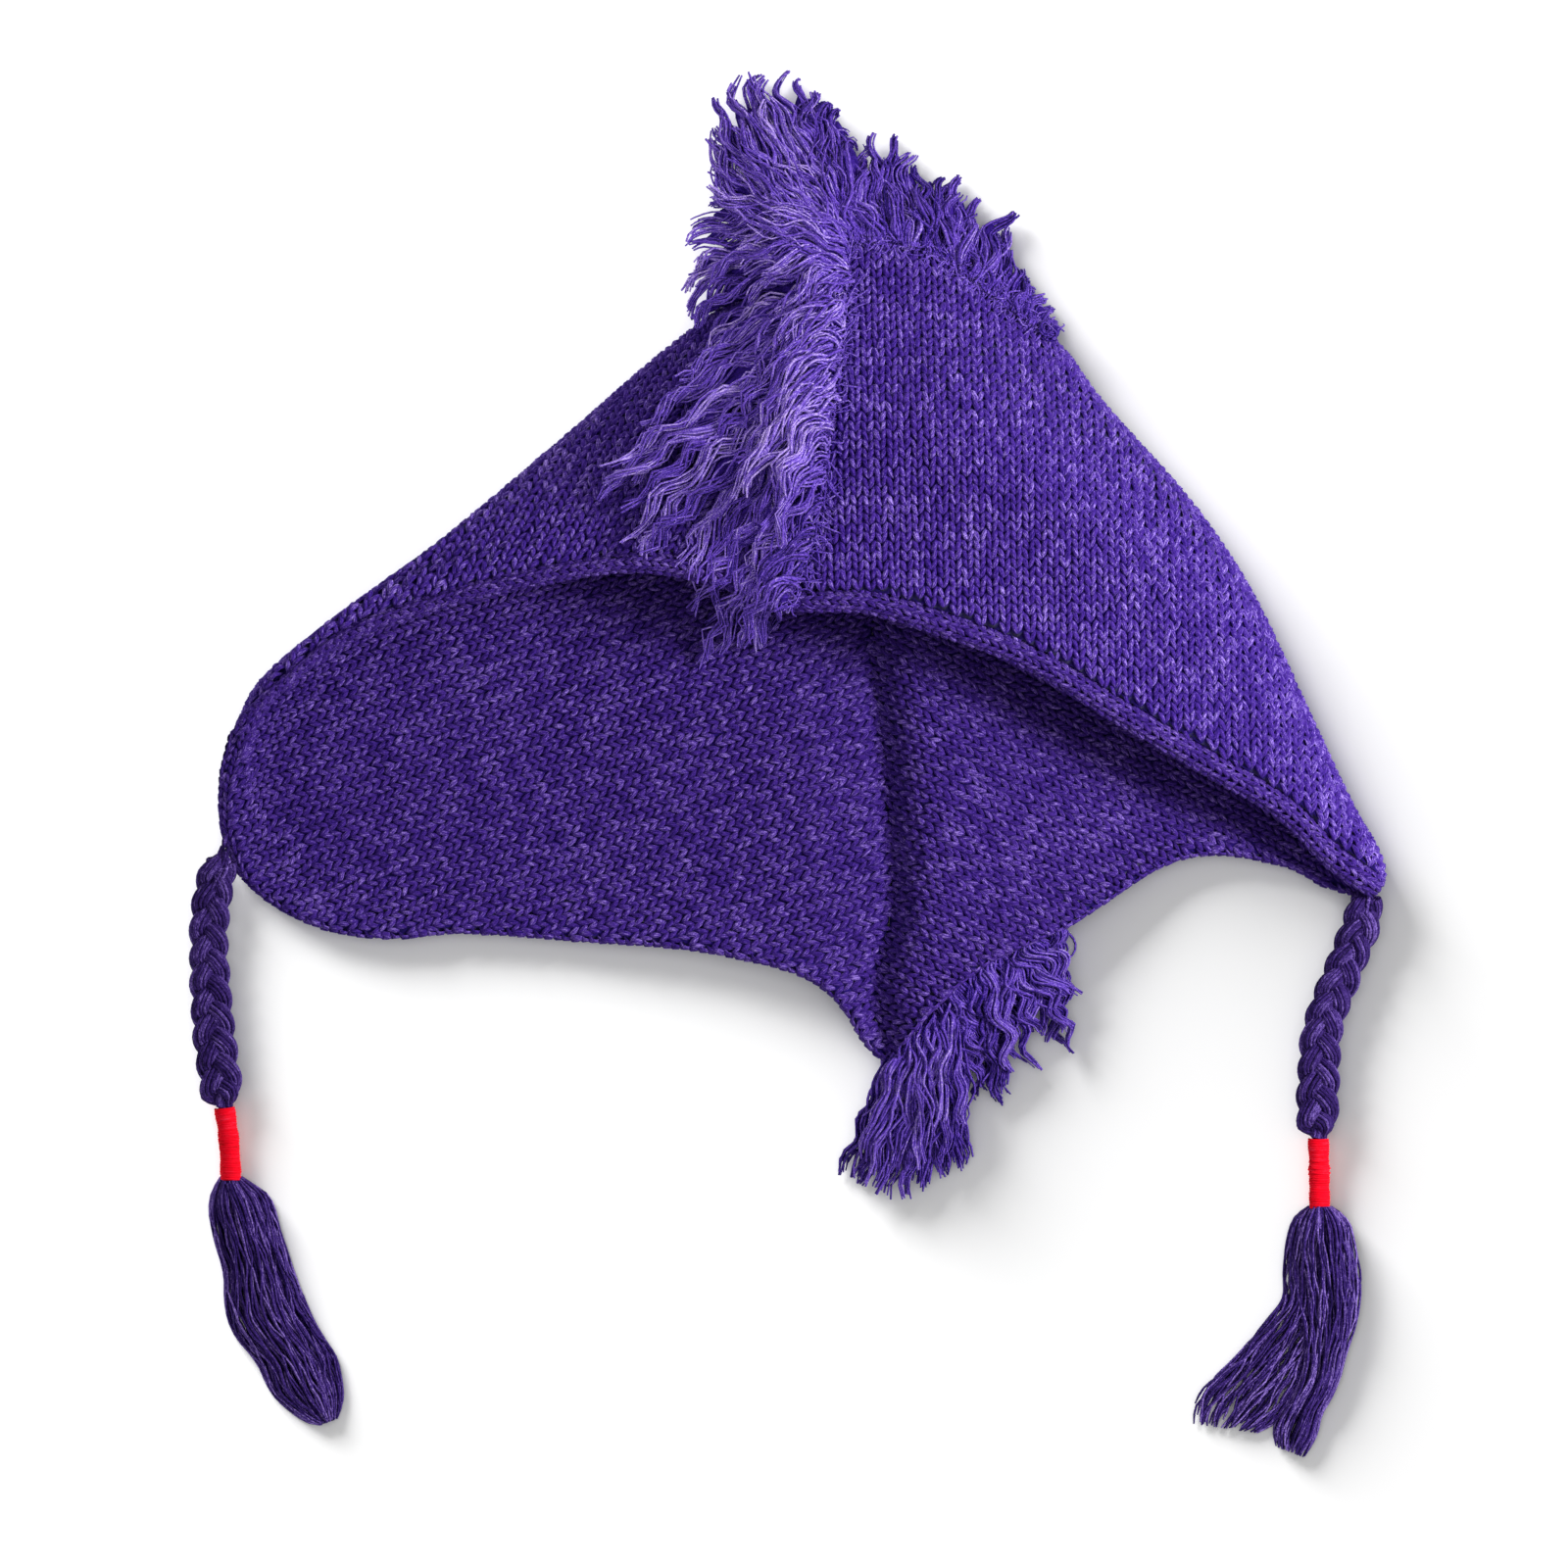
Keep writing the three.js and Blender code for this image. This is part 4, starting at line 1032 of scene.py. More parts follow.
def make_whipping(hand, random):
    line, length = route_points(WHIPPING_ROUTES[hand], ROUTE_STEPS)
    wound = length / THREAD["pitch"]
    steps = THREAD["steps"]
    stations = int(wound * steps)
    at = np.linspace(0, 1, stations)
    centre = between(at, np.linspace(0, 1, ROUTE_STEPS), line)
    sideways, upwards = side_frame(centre)
    angle = 2 * math.pi * wound * at
    uneven = np.repeat(random.normal(0, 0.07, stations // steps + 1), steps)[:stations]
    radius = THREAD["wound_radius"] + 0.12 * np.sin(at * 17) + uneven
    path = centre + sideways * (radius * np.cos(angle))[:, None]
    path = path + upwards * (radius * np.sin(angle))[:, None]
    radii = np.full((1, stations), THREAD["radius"])
    thread = tube_mesh(f"thread {hand}", path[None], radii, 5, "thread", [(0.3, 0.5)])
    radii = np.full((1, ROUTE_STEPS), THREAD["core_radius"])
    core = tube_mesh(f"core {hand}", line[None], radii, 12, "thread", [(0.3, 0.2)])
    return join([thread, core], f"whipping_{hand}")


# Tassels as bundles of yarn between two edges, seen from above; high is a bundle's height
# over its base
TASSELS = {
    "left": [
        {
            "yarns": 160, "base": 0.7, "high": 10.5,
            "left": [
                (-198.2, -185), (-201, -190), (-202, -195.3), (-201.3, -201), (-199.7, -208),
                (-197.7, -214.3), (-196.7, -220), (-196.7, -226.3), (-195.3, -234), (-192.3, -240),
                (-188, -245), (-184.7, -250), (-182.7, -254.7), (-179.7, -259.7), (-175, -264),
                (-169.3, -268), (-164.3, -269.3),
            ],
            "right": [
                (-191, -185), (-186, -188.3), (-182, -191.3), (-179.7, -196.3), (-178.3, -202.3),
                (-175.7, -210), (-173.7, -216.3), (-170.7, -224), (-167.3, -232.3), (-163, -240),
                (-159, -246.3), (-157.3, -253.3), (-156.7, -260.3), (-158.7, -267.3),
            ],
        },
        {
            "yarns": 18, "base": 7.0, "high": 4.0,
            "left": [(-196, -187), (-193, -200), (-189, -215), (-186, -228), (-183, -238), (-178, -245)],
            "right": [(-192, -187), (-184, -200), (-180, -215), (-175, -226), (-172, -236), (-171, -246)],
        },
    ],
    "right": [
        {
            "yarns": 92, "base": 0.7, "high": 8.0,
            "left": [
                (171.7, -195), (167.3, -198.3), (165.3, -202.7), (164, -209), (163.3, -216.7), (163, -226.3),
                (158.3, -232.7), (152, -240.3), (145.7, -247.3), (138.3, -254.3), (135.3, -257.7),
                (132.7, -263.3), (132.7, -269),
            ],
            "right": [
                (176, -195), (180, -203), (182, -215), (181, -228), (178, -240), (173, -251), (167, -261),
                (161, -268), (154, -272),
            ],
        },
        {
            "yarns": 112, "base": 3.0, "high": 9.5,
            "left": [
                (172.5, -195), (168, -202), (166, -212), (167, -226), (169, -240), (168, -252), (164, -262),
                (160, -270), (160.7, -276.7),
            ],
            "right": [
                (179.3, -195), (183, -197.7), (185.7, -201.3), (187, -207), (188.7, -213.7), (189.3, -221),
                (188.7, -229.3), (187, -237), (184.3, -245.3), (182.7, -251.7), (179.3, -260), (176, -265.7),
                (174.3, -272.7), (170, -280.3),
            ],
        },
    ],
}
TASSEL_YARN_RADIUS = 0.5
TASSEL_STATIONS = 28


# Yarns of one bundle, spread between its edges and over its height
def bundle_paths(facts, random, stations):
    count = facts["yarns"]
    left, _ = route_points(facts["left"], ROUTE_STEPS)
    right, _ = route_points(facts["right"], ROUTE_STEPS)
    share = (random.permutation(count) + random.random(count)) / count
    layer = random.random(count)
    reach = 1 - 0.17 * random.random(count) ** 2
    s = np.linspace(0, 1, stations)[None, :] * reach[:, None]
    phase = random.random((count, 3)) * 2 * math.pi
    drift = 0.09 * np.sin(s * 4.2 + phase[:, :1]) + 0.03 * np.sin(s * 17 + phase[:, 1:2])
    drift = drift + 0.012 * np.sin(s * 48 + phase[:, 2:])
    t = np.clip(share[:, None] + drift * np.clip(s * 4, 0, 1), 0.0, 1.0)
    grid = np.linspace(0, 1, ROUTE_STEPS)
    xy = mix(between(s, grid, left), between(s, grid, right), t[..., None])
    dome = np.sqrt(np.clip(1 - (2 * t - 1) ** 2, 0.04, 1))
    swell = np.interp(s, [0, 0.12, 0.35, 0.8, 1], [0.55, 1.0, 0.85, 0.62, 0.35])
    high = facts["high"] * swell * dome
    z = facts["base"] * np.clip(1.3 - s, 0.2, 1) + 0.6 + high * (0.08 + 0.92 * layer[:, None])
    z = z + 0.35 * np.sin(s * 21 + phase[:, 2:])
    return np.concatenate([xy, np.clip(z, 0.75, 14)[..., None]], axis=-1)


def make_tassel(hand, random):
    paths = np.concatenate([bundle_paths(facts, random, TASSEL_STATIONS) for facts in TASSELS[hand]])
    count = len(paths)
    radii = np.full((count, TASSEL_STATIONS), TASSEL_YARN_RADIUS) * (1 + random.normal(0, 0.08, (count, 1)))
    radii[:, -1] *= 0.6
    return tube_mesh(f"tassel_yarn_{hand}", paths, radii, 3, "tassel", random.random((count, 2)))


def make_ties(random):
    for hand in ("left", "right"):
        plait = make_plait(hand, random)
        whipping = make_whipping(hand, random)
        tassel = make_tassel(hand, random)
        finish_piece(plait, f"braid_{hand}")
        finish_piece(whipping, f"wrap_{hand}")
        finish_piece(tassel, f"tassel_{hand}")


# The fringe: how far along the seam a lock leaves (0 to 1 up the front, to 2 along the ridge),
# the place it bends over, the place of its tip, how high that is over the knit, and how far
# the lock stands up first
LOCKS = [
    {"along": 0.02, "bend": (-8, 13), "tip": (-10, 1), "over": 28, "stand": 11},
    {"along": 0.1, "bend": (-12, 19), "tip": (-16, -5), "over": 29, "stand": 13},
    {"along": 0.17, "bend": (-16, 25), "tip": (-22, -10), "over": 29, "stand": 15},
    {"along": 0.24, "bend": (-20, 31), "tip": (-28, -11), "over": 29, "stand": 17},
    {"along": 0.31, "bend": (-23, 38), "tip": (-33, -4), "over": 27, "stand": 19},
    {"along": 0.37, "bend": (-26, 45), "tip": (-36, 5), "over": 22, "stand": 20},
    {"along": 0.43, "bend": (-29, 52), "tip": (-44, 13), "over": 15, "stand": 21},
    {"along": 0.49, "bend": (-32, 60), "tip": (-56, 22), "over": 10, "stand": 22},
    {"along": 0.55, "bend": (-34, 68), "tip": (-65, 34), "over": 8, "stand": 23},
    {"along": 0.61, "bend": (-35, 76), "tip": (-71, 44), "over": 7, "stand": 24},
    {"along": 0.67, "bend": (-31, 82), "tip": (-60, 53), "over": 7, "stand": 24},
    {"along": 0.72, "bend": (-28, 90), "tip": (-51, 61), "over": 7, "stand": 24},
    {"along": 0.77, "bend": (-27, 98), "tip": (-46, 69), "over": 7, "stand": 24},
    {"along": 0.81, "bend": (-26, 106), "tip": (-43, 79), "over": 7, "stand": 24},
    {"along": 0.85, "bend": (-27, 115), "tip": (-41, 89), "over": 8, "stand": 23},
    {"along": 0.88, "bend": (-28, 123), "tip": (-40, 99), "over": 8, "stand": 22},
    {"along": 0.91, "bend": (-29, 131), "tip": (-38, 107), "over": 9, "stand": 21},
    {"along": 0.935, "bend": (-32, 138), "tip": (-40, 116), "over": 9, "stand": 20},
    {"along": 0.95, "bend": (-33, 145), "tip": (-37, 128), "over": 10, "stand": 19},
    {"along": 0.96, "bend": (-32, 150), "tip": (-34, 138), "over": 10, "stand": 18},
    {"along": 0.965, "bend": (-30, 144), "tip": (-32, 155), "over": 11, "stand": 18},
    {"along": 0.97, "bend": (-34, 152), "tip": (-31, 170), "over": 10, "stand": 17},
    {"along": 0.98, "bend": (-35, 161), "tip": (-27, 183), "over": 9, "stand": 17},
    {"along": 0.985, "bend": (-32, 171), "tip": (-22, 192), "over": 8, "stand": 16},
    {"along": 0.99, "bend": (-27, 177), "tip": (-15, 190), "over": 8, "stand": 16},
    {"along": 0.995, "bend": (-19, 184), "tip": (-7, 190), "over": 7, "stand": 15},
    {"along": 1.01, "bend": (-10, 187), "tip": (2, 187), "over": 7, "stand": 15},
    {"along": 1.025, "bend": (-2, 188), "tip": (9, 180), "over": 7, "stand": 14},
    {"along": 1.04, "bend": (6, 184), "tip": (14, 172), "over": 6, "stand": 14},
    {"along": 1.06, "bend": (11, 176), "tip": (17, 163), "over": 6, "stand": 13},
    {"along": 1.085, "bend": (13, 166), "tip": (15, 154), "over": 5, "stand": 12},
    {"along": 1.12, "bend": (14, 155), "tip": (18, 163), "over": 5, "stand": 12},
    {"along": 1.14, "bend": (17, 153), "tip": (21, 167), "over": 5, "stand": 12},
    {"along": 1.18, "bend": (21, 155), "tip": (25, 170), "over": 5, "stand": 12},
    {"along": 1.24, "bend": (27, 155), "tip": (35, 168), "over": 5, "stand": 12},
    {"along": 1.3, "bend": (33, 152), "tip": (38, 161), "over": 5, "stand": 11},
    {"along": 1.37, "bend": (39, 149), "tip": (45, 158), "over": 4, "stand": 11},
    {"along": 1.44, "bend": (46, 147), "tip": (54, 158), "over": 4, "stand": 11},
    {"along": 1.5, "bend": (50, 143), "tip": (56, 150), "over": 4, "stand": 10},
    {"along": 1.56, "bend": (55, 135), "tip": (60, 140), "over": 4, "stand": 10},
    {"along": 1.62, "bend": (61, 134), "tip": (66, 145), "over": 4, "stand": 10},
    {"along": 1.69, "bend": (66, 126), "tip": (71, 131), "over": 4, "stand": 9},
    {"along": 1.76, "bend": (71, 120), "tip": (75, 125), "over": 4, "stand": 9},
    {"along": 1.84, "bend": (74, 115), "tip": (78, 115), "over": 3, "stand": 8},
    {"along": 1.91, "bend": (79, 108), "tip": (84, 107), "over": 3, "stand": 7},
    {"along": 1.97, "bend": (83, 100), "tip": (87, 98), "over": 3, "stand": 6},
]
# Layers of locks, from the longest to the shortest, which lie over them; fall says how much
# the locks of a layer hang straight down beside the seam instead of reaching out
FALL_BEND = (-12, -3)
FALL_TIP = (-17, -35)
LOWEST_TIP = -8
LOCK_LAYERS = [
    {
        "name": "long_yarn", "reach": (0.94, 1.0), "fall": 0.0, "level": (0.0, 0.35),
        "apart": 6.2, "strands": 12, "stations": 26,
    },
    {
        "name": "middle_yarn", "reach": (0.66, 0.88), "fall": 0.75, "level": (0.35, 0.7),
        "apart": 6.5, "strands": 13, "stations": 19,
    },
    {
        "name": "short_yarn", "reach": (0.4, 0.62), "fall": 0.9, "level": (0.65, 1.0),
        "apart": 7.0, "strands": 12, "stations": 14,
    },
]
FRINGE_TOP = 74
# Locks that fall over the rim beside the nape: root, bend and tip
NAPE_CURLS = [
    {"root": (47, -121, 9), "bend": (49, -140), "tip": (56, -167)},
    {"root": (50, -118, 10), "bend": (53, -140), "tip": (59, -158)},
    {"root": (53, -115, 10), "bend": (60, -138), "tip": (65, -157)},
    {"root": (56, -112, 10), "bend": (65, -136), "tip": (68, -166)},
    {"root": (59, -110, 10), "bend": (71, -134), "tip": (73, -154)},
    {"root": (63, -108, 9), "bend": (76, -126), "tip": (76, -142)},
    {"root": (67, -106, 9), "bend": (82, -122), "tip": (84, -140)},
    {"root": (70, -104, 9), "bend": (88, -122), "tip": (89, -146)},
    {"root": (74, -102, 8), "bend": (89, -114), "tip": (89, -132)},
    {"root": (78, -100, 8), "bend": (87, -108), "tip": (82, -124)},
    {"root": (81, -99, 7), "bend": (87, -104), "tip": (84, -113)},
]
# The bundle that falls over the rim at the nape: its roots, bends and tips, from left to right
NAPE_BUNDLE = [
    {"root": (33, -139, 7), "bend": (27, -160), "tip": (11, -186)},
    {"root": (35, -137, 8), "bend": (31, -160), "tip": (17, -190)},
    {"root": (37, -135, 9), "bend": (35, -160), "tip": (24, -192)},
    {"root": (39, -133, 10), "bend": (39, -160), "tip": (31, -194)},
    {"root": (42, -131, 11), "bend": (43, -160), "tip": (38, -191)},
    {"root": (44, -129, 11), "bend": (47, -158), "tip": (45, -187)},
    {"root": (46, -127, 11), "bend": (51, -156), "tip": (52, -181)},
    {"root": (48, -125, 11), "bend": (53, -152), "tip": (57, -174)},
]


# Raster of the height of a layer's outer face: the front's highest or the back's lowest points
RASTER_START = np.array([-215.0, -160.0])
RASTER_SIZE = np.array([210, 160])
RASTER_CELL = 2.0


class HeightMap:
    def __init__(self, side):
        a, u = np.meshgrid(np.linspace(0, 1, 700), np.linspace(0, 1, 500))
        points = bag_point(side, a.ravel(), u.ravel(), 0.0)
        self.empty = -1e3 if side == "front" else 1e3
        self.grid = np.full(RASTER_SIZE, self.empty)
        take = np.maximum if side == "front" else np.minimum
        take.at(self.grid, self.cells(points), points[:, 2])

    def cells(self, points):
        cells = ((points[..., :2] - RASTER_START) / RASTER_CELL).astype(int)
        cells = np.clip(cells, 0, RASTER_SIZE - 1)
        return cells[..., 0], cells[..., 1]

    def at(self, points, beside=0.0):
        value = self.grid[self.cells(points)]
        return np.where(value == self.empty, beside, value)


# Places over the seam, by run along it, distance to its right and height over the knit
def seam_place(along, height, right=0.0):
    along = np.asarray(along, float)
    right = np.broadcast_to(np.asarray(right, float), along.shape)
    top_front = seam_share("front", np.array(1.0))
    top_back = seam_share("back", np.array(1.0))
    points = np.empty(along.shape + (3,))
    ridge_part = (along > 1) & (along < 2)
    for side, chosen, up in (("front", along <= 1, along), ("back", along >= 2, 3 - along)):
        share = up[chosen]
        across = seam_share(side, share) + right[chosen] / row_length(side, share)
        points[chosen] = bag_point(side, across, share, np.full(share.shape, -height))
    across = mix(top_front, top_back, along - 1)
    for side, chosen in (("front", ridge_part & (right > 0)), ("back", ridge_part & (right <= 0))):
        a = across[chosen]
        angle = np.abs(right[chosen]) / FOLD_RADIUS
        share = 1 - (1 - np.cos(angle)) * turn_share(side, "ridge", a, FOLD_RADIUS)
        points[chosen] = bag_point(side, a, share, np.full(a.shape, -height))
    return points


# Columns of a table, each an array
def columns_of(rows, *names):
    return [np.array([row[name] for row in rows], float) for name in names]


# Cubic Bezier for many paths, run from its start to the given share of it
def bezier(p0, p1, p2, p3, stations, reach=1.0):
    s = np.linspace(0, 1, stations)[None, :] * np.reshape(reach, (-1, 1))
    s = s[..., None]
    return (
        p0[:, None] * (1 - s) ** 3
        + 3 * p1[:, None] * s * (1 - s) ** 2
        + 3 * p2[:, None] * s * s * (1 - s)
        + p3[:, None] * s ** 3
    )


# Gives the strands of each lock a common swing and crimp, and lays them round each other
def crinkled(random, paths, lock_of, loose=2.1, swing=(0.8, 2.3), tight=1.0, hooked=4.5):
    count, stations = paths.shape[:2]
    locks = lock_of.max() + 1
    s = np.linspace(0, 1, stations)[None, :]
    run = run_along(paths)
    ahead = unit(np.gradient(paths, axis=1))
    aside = unit(np.cross(ahead, UP_HINT))
    over = np.cross(aside, ahead)
    phase = random.random((locks, 4))[lock_of] * 2 * math.pi
    high = random.uniform(*swing, locks)[lock_of][:, None]
    long = random.uniform(2.4, 4.0, locks)[lock_of][:, None] / tight
    sway = high * np.sin(run / long + phase[:, :1])
    heave = 0.6 * high * np.cos(run / long + phase[:, 1:2])
    shift = random.normal(0, 0.45, (count, 1))
    crimp = 0.6 * np.sin(run / 2.0 + phase[:, 2:3] + shift)
    ripple = 0.5 * np.cos(run / 2.2 + phase[:, 2:3] + shift)
    hook = hooked * random.uniform(-1, 1, locks)[lock_of][:, None] * np.clip((s - 0.5) / 0.5, 0, 1) ** 2
    rate = random.normal(0, 0.06, locks)[lock_of][:, None]
    turn = random.random((count, 1)) * 2 * math.pi + rate * run
    stray = np.where(random.random((count, 1)) < 0.07, 2.0, 1.0)
    spread = np.interp(s, [0, 0.2, 0.65, 1], [0.5, 1.0, 1.1, 0.6])
    off = loose * np.sqrt(random.random((count, 1))) * stray * spread
    ease = np.clip(run / 6, 0, 1)
    paths = paths + aside * ((sway + crimp + hook + off * np.cos(turn)) * ease)[..., None]
    return paths + over * ((heave + ripple + off * np.sin(turn)) * ease)[..., None]


STRAND_THICKNESS = 0.6


# Strands as tubes, each as pale as given from 0 to 1, a paleness that holds painted light and shade as well
# as the strand's own tone
def strand_mesh(name, paths, random, paleness_and_painted_light, thick=STRAND_THICKNESS):
    count, stations = paths.shape[:2]
    s = np.linspace(0, 1, stations)[None, :]
    radii = thick * (1 - 0.42 * s ** 3) * (1 + random.normal(0, 0.18, (count, 1)))
    lots = random.random((count, 2))
    lots[:, 1] = np.clip(paleness_and_painted_light + (lots[:, 1] - 0.5) * 0.5, 0, 1)
    return tube_mesh(name, paths, np.maximum(radii, 0.2), 3, "fringe", lots)


# One layer of the fringe: its locks follow the rows of the table, and short ones stop sooner
def fringe_layer(random, layer, over_map):
    along_k, bend_k, tip_k, over_k, stand_k = columns_of(LOCKS, "along", "bend", "tip", "over", "stand")
    tip_steps = np.hypot(*np.diff(tip_k, axis=0).T)
    bend_steps = np.hypot(*np.diff(bend_k, axis=0).T)
    arc_k = np.concatenate([[0], np.cumsum(0.6 * tip_steps + 0.4 * bend_steps + 2.0)])
    locks = int(arc_k[-1] / layer["apart"])
    arc = np.clip((np.arange(locks) + random.uniform(0.1, 0.9, locks)) / locks, 0, 1) * arc_k[-1]
    order = np.repeat(np.arange(locks), layer["strands"])
    count = len(order)
    lock_along = np.interp(arc, arc_k, along_k)
    along = lock_along[order] + random.uniform(-0.012, 0.012, count)
    on_ridge = lock_along[order] > 1
    along = np.clip(along, 0, 1.99)
    along = np.where(on_ridge, np.maximum(along, 1.004), np.minimum(along, 0.996))
    right = np.where(on_ridge, random.uniform(1.0, 5.0, count), random.uniform(-2.0, 6.0, count))
    root = seam_place(along, 0.6, right)
    way_up = unit(seam_place(along, 6.0, right) - root)
    level = random.uniform(*layer["level"], locks)[order]
    falling = layer["fall"] * np.clip((0.95 - lock_along) / 0.08, 0, 1)
    foot = seam_place(np.clip(lock_along, 0, 0.99), 0.6)[:, :2]
    bend = mix(between(arc, arc_k, bend_k), foot + np.array(FALL_BEND), falling[:, None])
    tip = mix(between(arc, arc_k, tip_k), foot + np.array(FALL_TIP), falling[:, None])
    tip[:, 1] = np.maximum(tip[:, 1], LOWEST_TIP)
    tangle = np.interp(arc, arc_k, np.clip(1.3 - 2.0 * np.abs(along_k - 0.5), 0.4, 1.0))[:, None]
    bend = (bend + random.normal(0, 4.0, bend.shape) * tangle)[order]
    tip = (tip + random.normal(0, 3.0, tip.shape) * tangle)[order]
    stand = np.interp(along, along_k, stand_k)
    over = np.interp(along, along_k, over_k)
    standing = root + way_up * (stand * (0.35 + 0.7 * level))[:, None]
    away = unit(tip - root[:, :2])
    standing[:, :2] -= away * random.uniform(0.5, 3.0, count)[:, None]
    bend = raised(bend, over_map.at(bend) + stand * (0.3 + 0.75 * level))
    tip = raised(tip, over_map.at(tip) + 1.5 + over * (0.2 + 0.9 * level))
    reach = mix(random.uniform(*layer["reach"], locks), random.uniform(0.75, 1.0, locks), falling)
    reach = reach[order] * (1 - 0.12 * random.random(count) ** 2)
    paths = bezier(root, standing, bend, tip, layer["stations"], reach)
    paths = crinkled(random, paths, order)
    lowest = over_map.at(paths) + 0.8 + random.random((count, 1)) * 1.5
    paths[..., 2] = np.clip(paths[..., 2], lowest, FRINGE_TOP)
    # Painted light and shade: strands higher in the fringe are paler and those low along the seam darker;
    # locks on the ridge are darker, and the rest varies at random
    paleness_and_painted_light = 0.25 + 0.1 * level + 0.55 * random.random(locks)[order] - 0.3 * on_ridge
    paleness_and_painted_light = paleness_and_painted_light + np.interp(along, [0.2, 0.6], [-0.15, 0.02])
    return strand_mesh(layer["name"], paths, random, paleness_and_painted_light)


# Short fuzz that hides where the fringe is sewn on
def root_fuzz(random, over_map):
    count = 1000
    stations = 6
    along = random.uniform(0.01, 1.97, count)
    along = np.where(np.abs(along - 1) < 0.01, 0.985, along)
    right = np.where(along > 1, random.uniform(2.5, 6.0, count), random.uniform(1.0, 6.0, count))
    root = seam_place(along, 0.2, right)
    normal = unit(seam_place(along, 4.0, right) - root)
    turn = random.uniform(0, 2 * math.pi, count)
    flat = np.stack([np.cos(turn), np.sin(turn), np.zeros(count)], axis=-1)
    length = np.where(along > 1, random.uniform(3, 6, count), random.uniform(4, 11, count))[:, None]
    first = root + flat * length * 0.4 + normal * 2.6
    second = root + flat * length * 0.8 + normal * 1.8 + random.normal(0, 1.2, (count, 3))
    last = root + flat * length * 0.8 + random.normal(0, 2.0, (count, 3)) + normal * 0.6
    paths = bezier(root, first, second, last, stations)
    paths[..., 2] = np.maximum(paths[..., 2], np.minimum(over_map.at(paths) + 0.9, root[:, None, 2] + 3))
    return strand_mesh("root fuzz", paths, random, 0.45, 0.42)


def make_fringe(random, over_map, under_map):
    pieces = [fringe_layer(random, layer, over_map) for layer in LOCK_LAYERS]
    pieces[2] = join([pieces[2], fringe_body(over_map), root_fuzz(random, over_map)], pieces[2].name)
    pieces.append(nape_fringe(random, under_map))
    for piece in pieces:
        finish_piece(piece, "mohawk_fringe")


# Felted inside of locks: the radius of one, by share of its length
FELT_STATIONS = 12
FELT_SIDES = 8
FELT_RADIUS = {"share": [0, 0.2, 0.55, 0.85, 1], "radius": [1.8, 3.6, 4.0, 2.6, 0.5]}


# Dense felted inside of the fringe, so that no knit shows between its strands; its yarn is darker than
# theirs, as painted shade between them
def fringe_body(over_map):
    along_k, bend_k, tip_k, stand_k = columns_of(LOCKS, "along", "bend", "tip", "stand")
    root = seam_place(along_k, 0.6)
    normal = unit(seam_place(along_k, 6.0) - root)
    stand = root + normal * (stand_k * 0.4)[:, None]
    bend = raised(bend_k, over_map.at(bend_k) + 4.0)
    tip = raised(tip_k, over_map.at(tip_k) + 2.0)
    paths = bezier(root, stand, bend, tip, FELT_STATIONS, np.interp(along_k, [0.4, 0.6], [0.66, 0.84]))
    return felt_mesh("fringe body", paths, np.interp(along_k, [0.1, 0.3], [0.45, 1.0]), over_map)


def felt_mesh(name, paths, size, ground_map=None):
    radii = np.interp(np.linspace(0, 1, FELT_STATIONS), FELT_RADIUS["share"], FELT_RADIUS["radius"])
    radii = radii[None, :] * np.broadcast_to(size, len(paths))[:, None]
    points, faces, uv = tube_arrays(paths, radii, FELT_SIDES)
    ground = ground_map.at(points) if ground_map else 0.0
    points[:, 2] = np.maximum(points[:, 2], ground + 0.4)
    # Lowest paleness for the felt, adding to its painted shade
    lots = per_tube(np.tile([0.4, 0.0], (len(paths), 1)), FELT_STATIONS, FELT_SIDES)
    return make_mesh(name, points, faces, materials["shaded_felt"], {"along": uv, "lot": lots})


# Felted inside of the nape locks, in the same darker yarn, as painted shade between their strands
def nape_body():
    root, bend, tip = columns_of(NAPE_CURLS + NAPE_BUNDLE, "root", "bend", "tip")
    root[:, 2] -= 2.0
    standing = mix(root, raised(bend, root[:, 2]), 0.35)
    paths = bezier(root, standing, raised(bend, 5.0), raised(tip, 2.5), FELT_STATIONS, 0.8)
    return felt_mesh("nape body", paths, 0.85)


# Roots, bends and tips of strands, spread between the rows of a table
def spread_strands(random, rows, locks, strands, jitter):
    root_k, bend_k, tip_k = columns_of(rows, "root", "bend", "tip")
    share = (np.arange(locks) + random.uniform(0.1, 0.9, locks)) / locks
    grid = np.linspace(0, 1, len(rows))
    order = np.repeat(np.arange(locks), strands)
    found = []
    for rows_k, loose in ((root_k, 0.5), (bend_k, 1.2), (tip_k, 0.8)):
        value = between(share, grid, rows_k)
        value = value + random.normal(0, loose * jitter, value.shape)
        found.append(value[order])
    return found, order


# Strands under the cap, along the back seam
def under_locks(random, under_map):
    locks = 12
    order = np.repeat(np.arange(locks), 8)
    count = len(order)
    along = np.clip(np.linspace(2.5, 2.95, locks)[order] + random.uniform(-0.02, 0.02, count), 2.5, 2.97)
    root = seam_place(along, 1.0)
    side_way = np.array([1.0, -0.25, 0.0])
    bend = root + side_way * 12.0
    tip = root + side_way * random.uniform(18, 30, locks)[order][:, None]
    low = np.array([1.0, 1.0, 0.0])
    height = random.uniform(1.0, 6.0, count)[:, None] * np.array([0.0, 0.0, 1.0])
    bend = bend * low + height
    tip = tip * low + height
    tip[:, 1] = np.maximum(tip[:, 1], -112)
    tip[:, 0] = np.minimum(tip[:, 0], 66)
    paths = crinkled(random, bezier(root, mix(root, bend, 0.5), bend, tip, 12), order)
    roof = under_map.at(paths, 16.0)
    roof = np.where(roof < 15.5, roof - 1.6, 15.0)
    paths[..., 2] = np.clip(paths[..., 2], LOWEST_STRAND, np.maximum(roof, 0.9))
    return strand_mesh("nape strands", paths, random, 0.2)


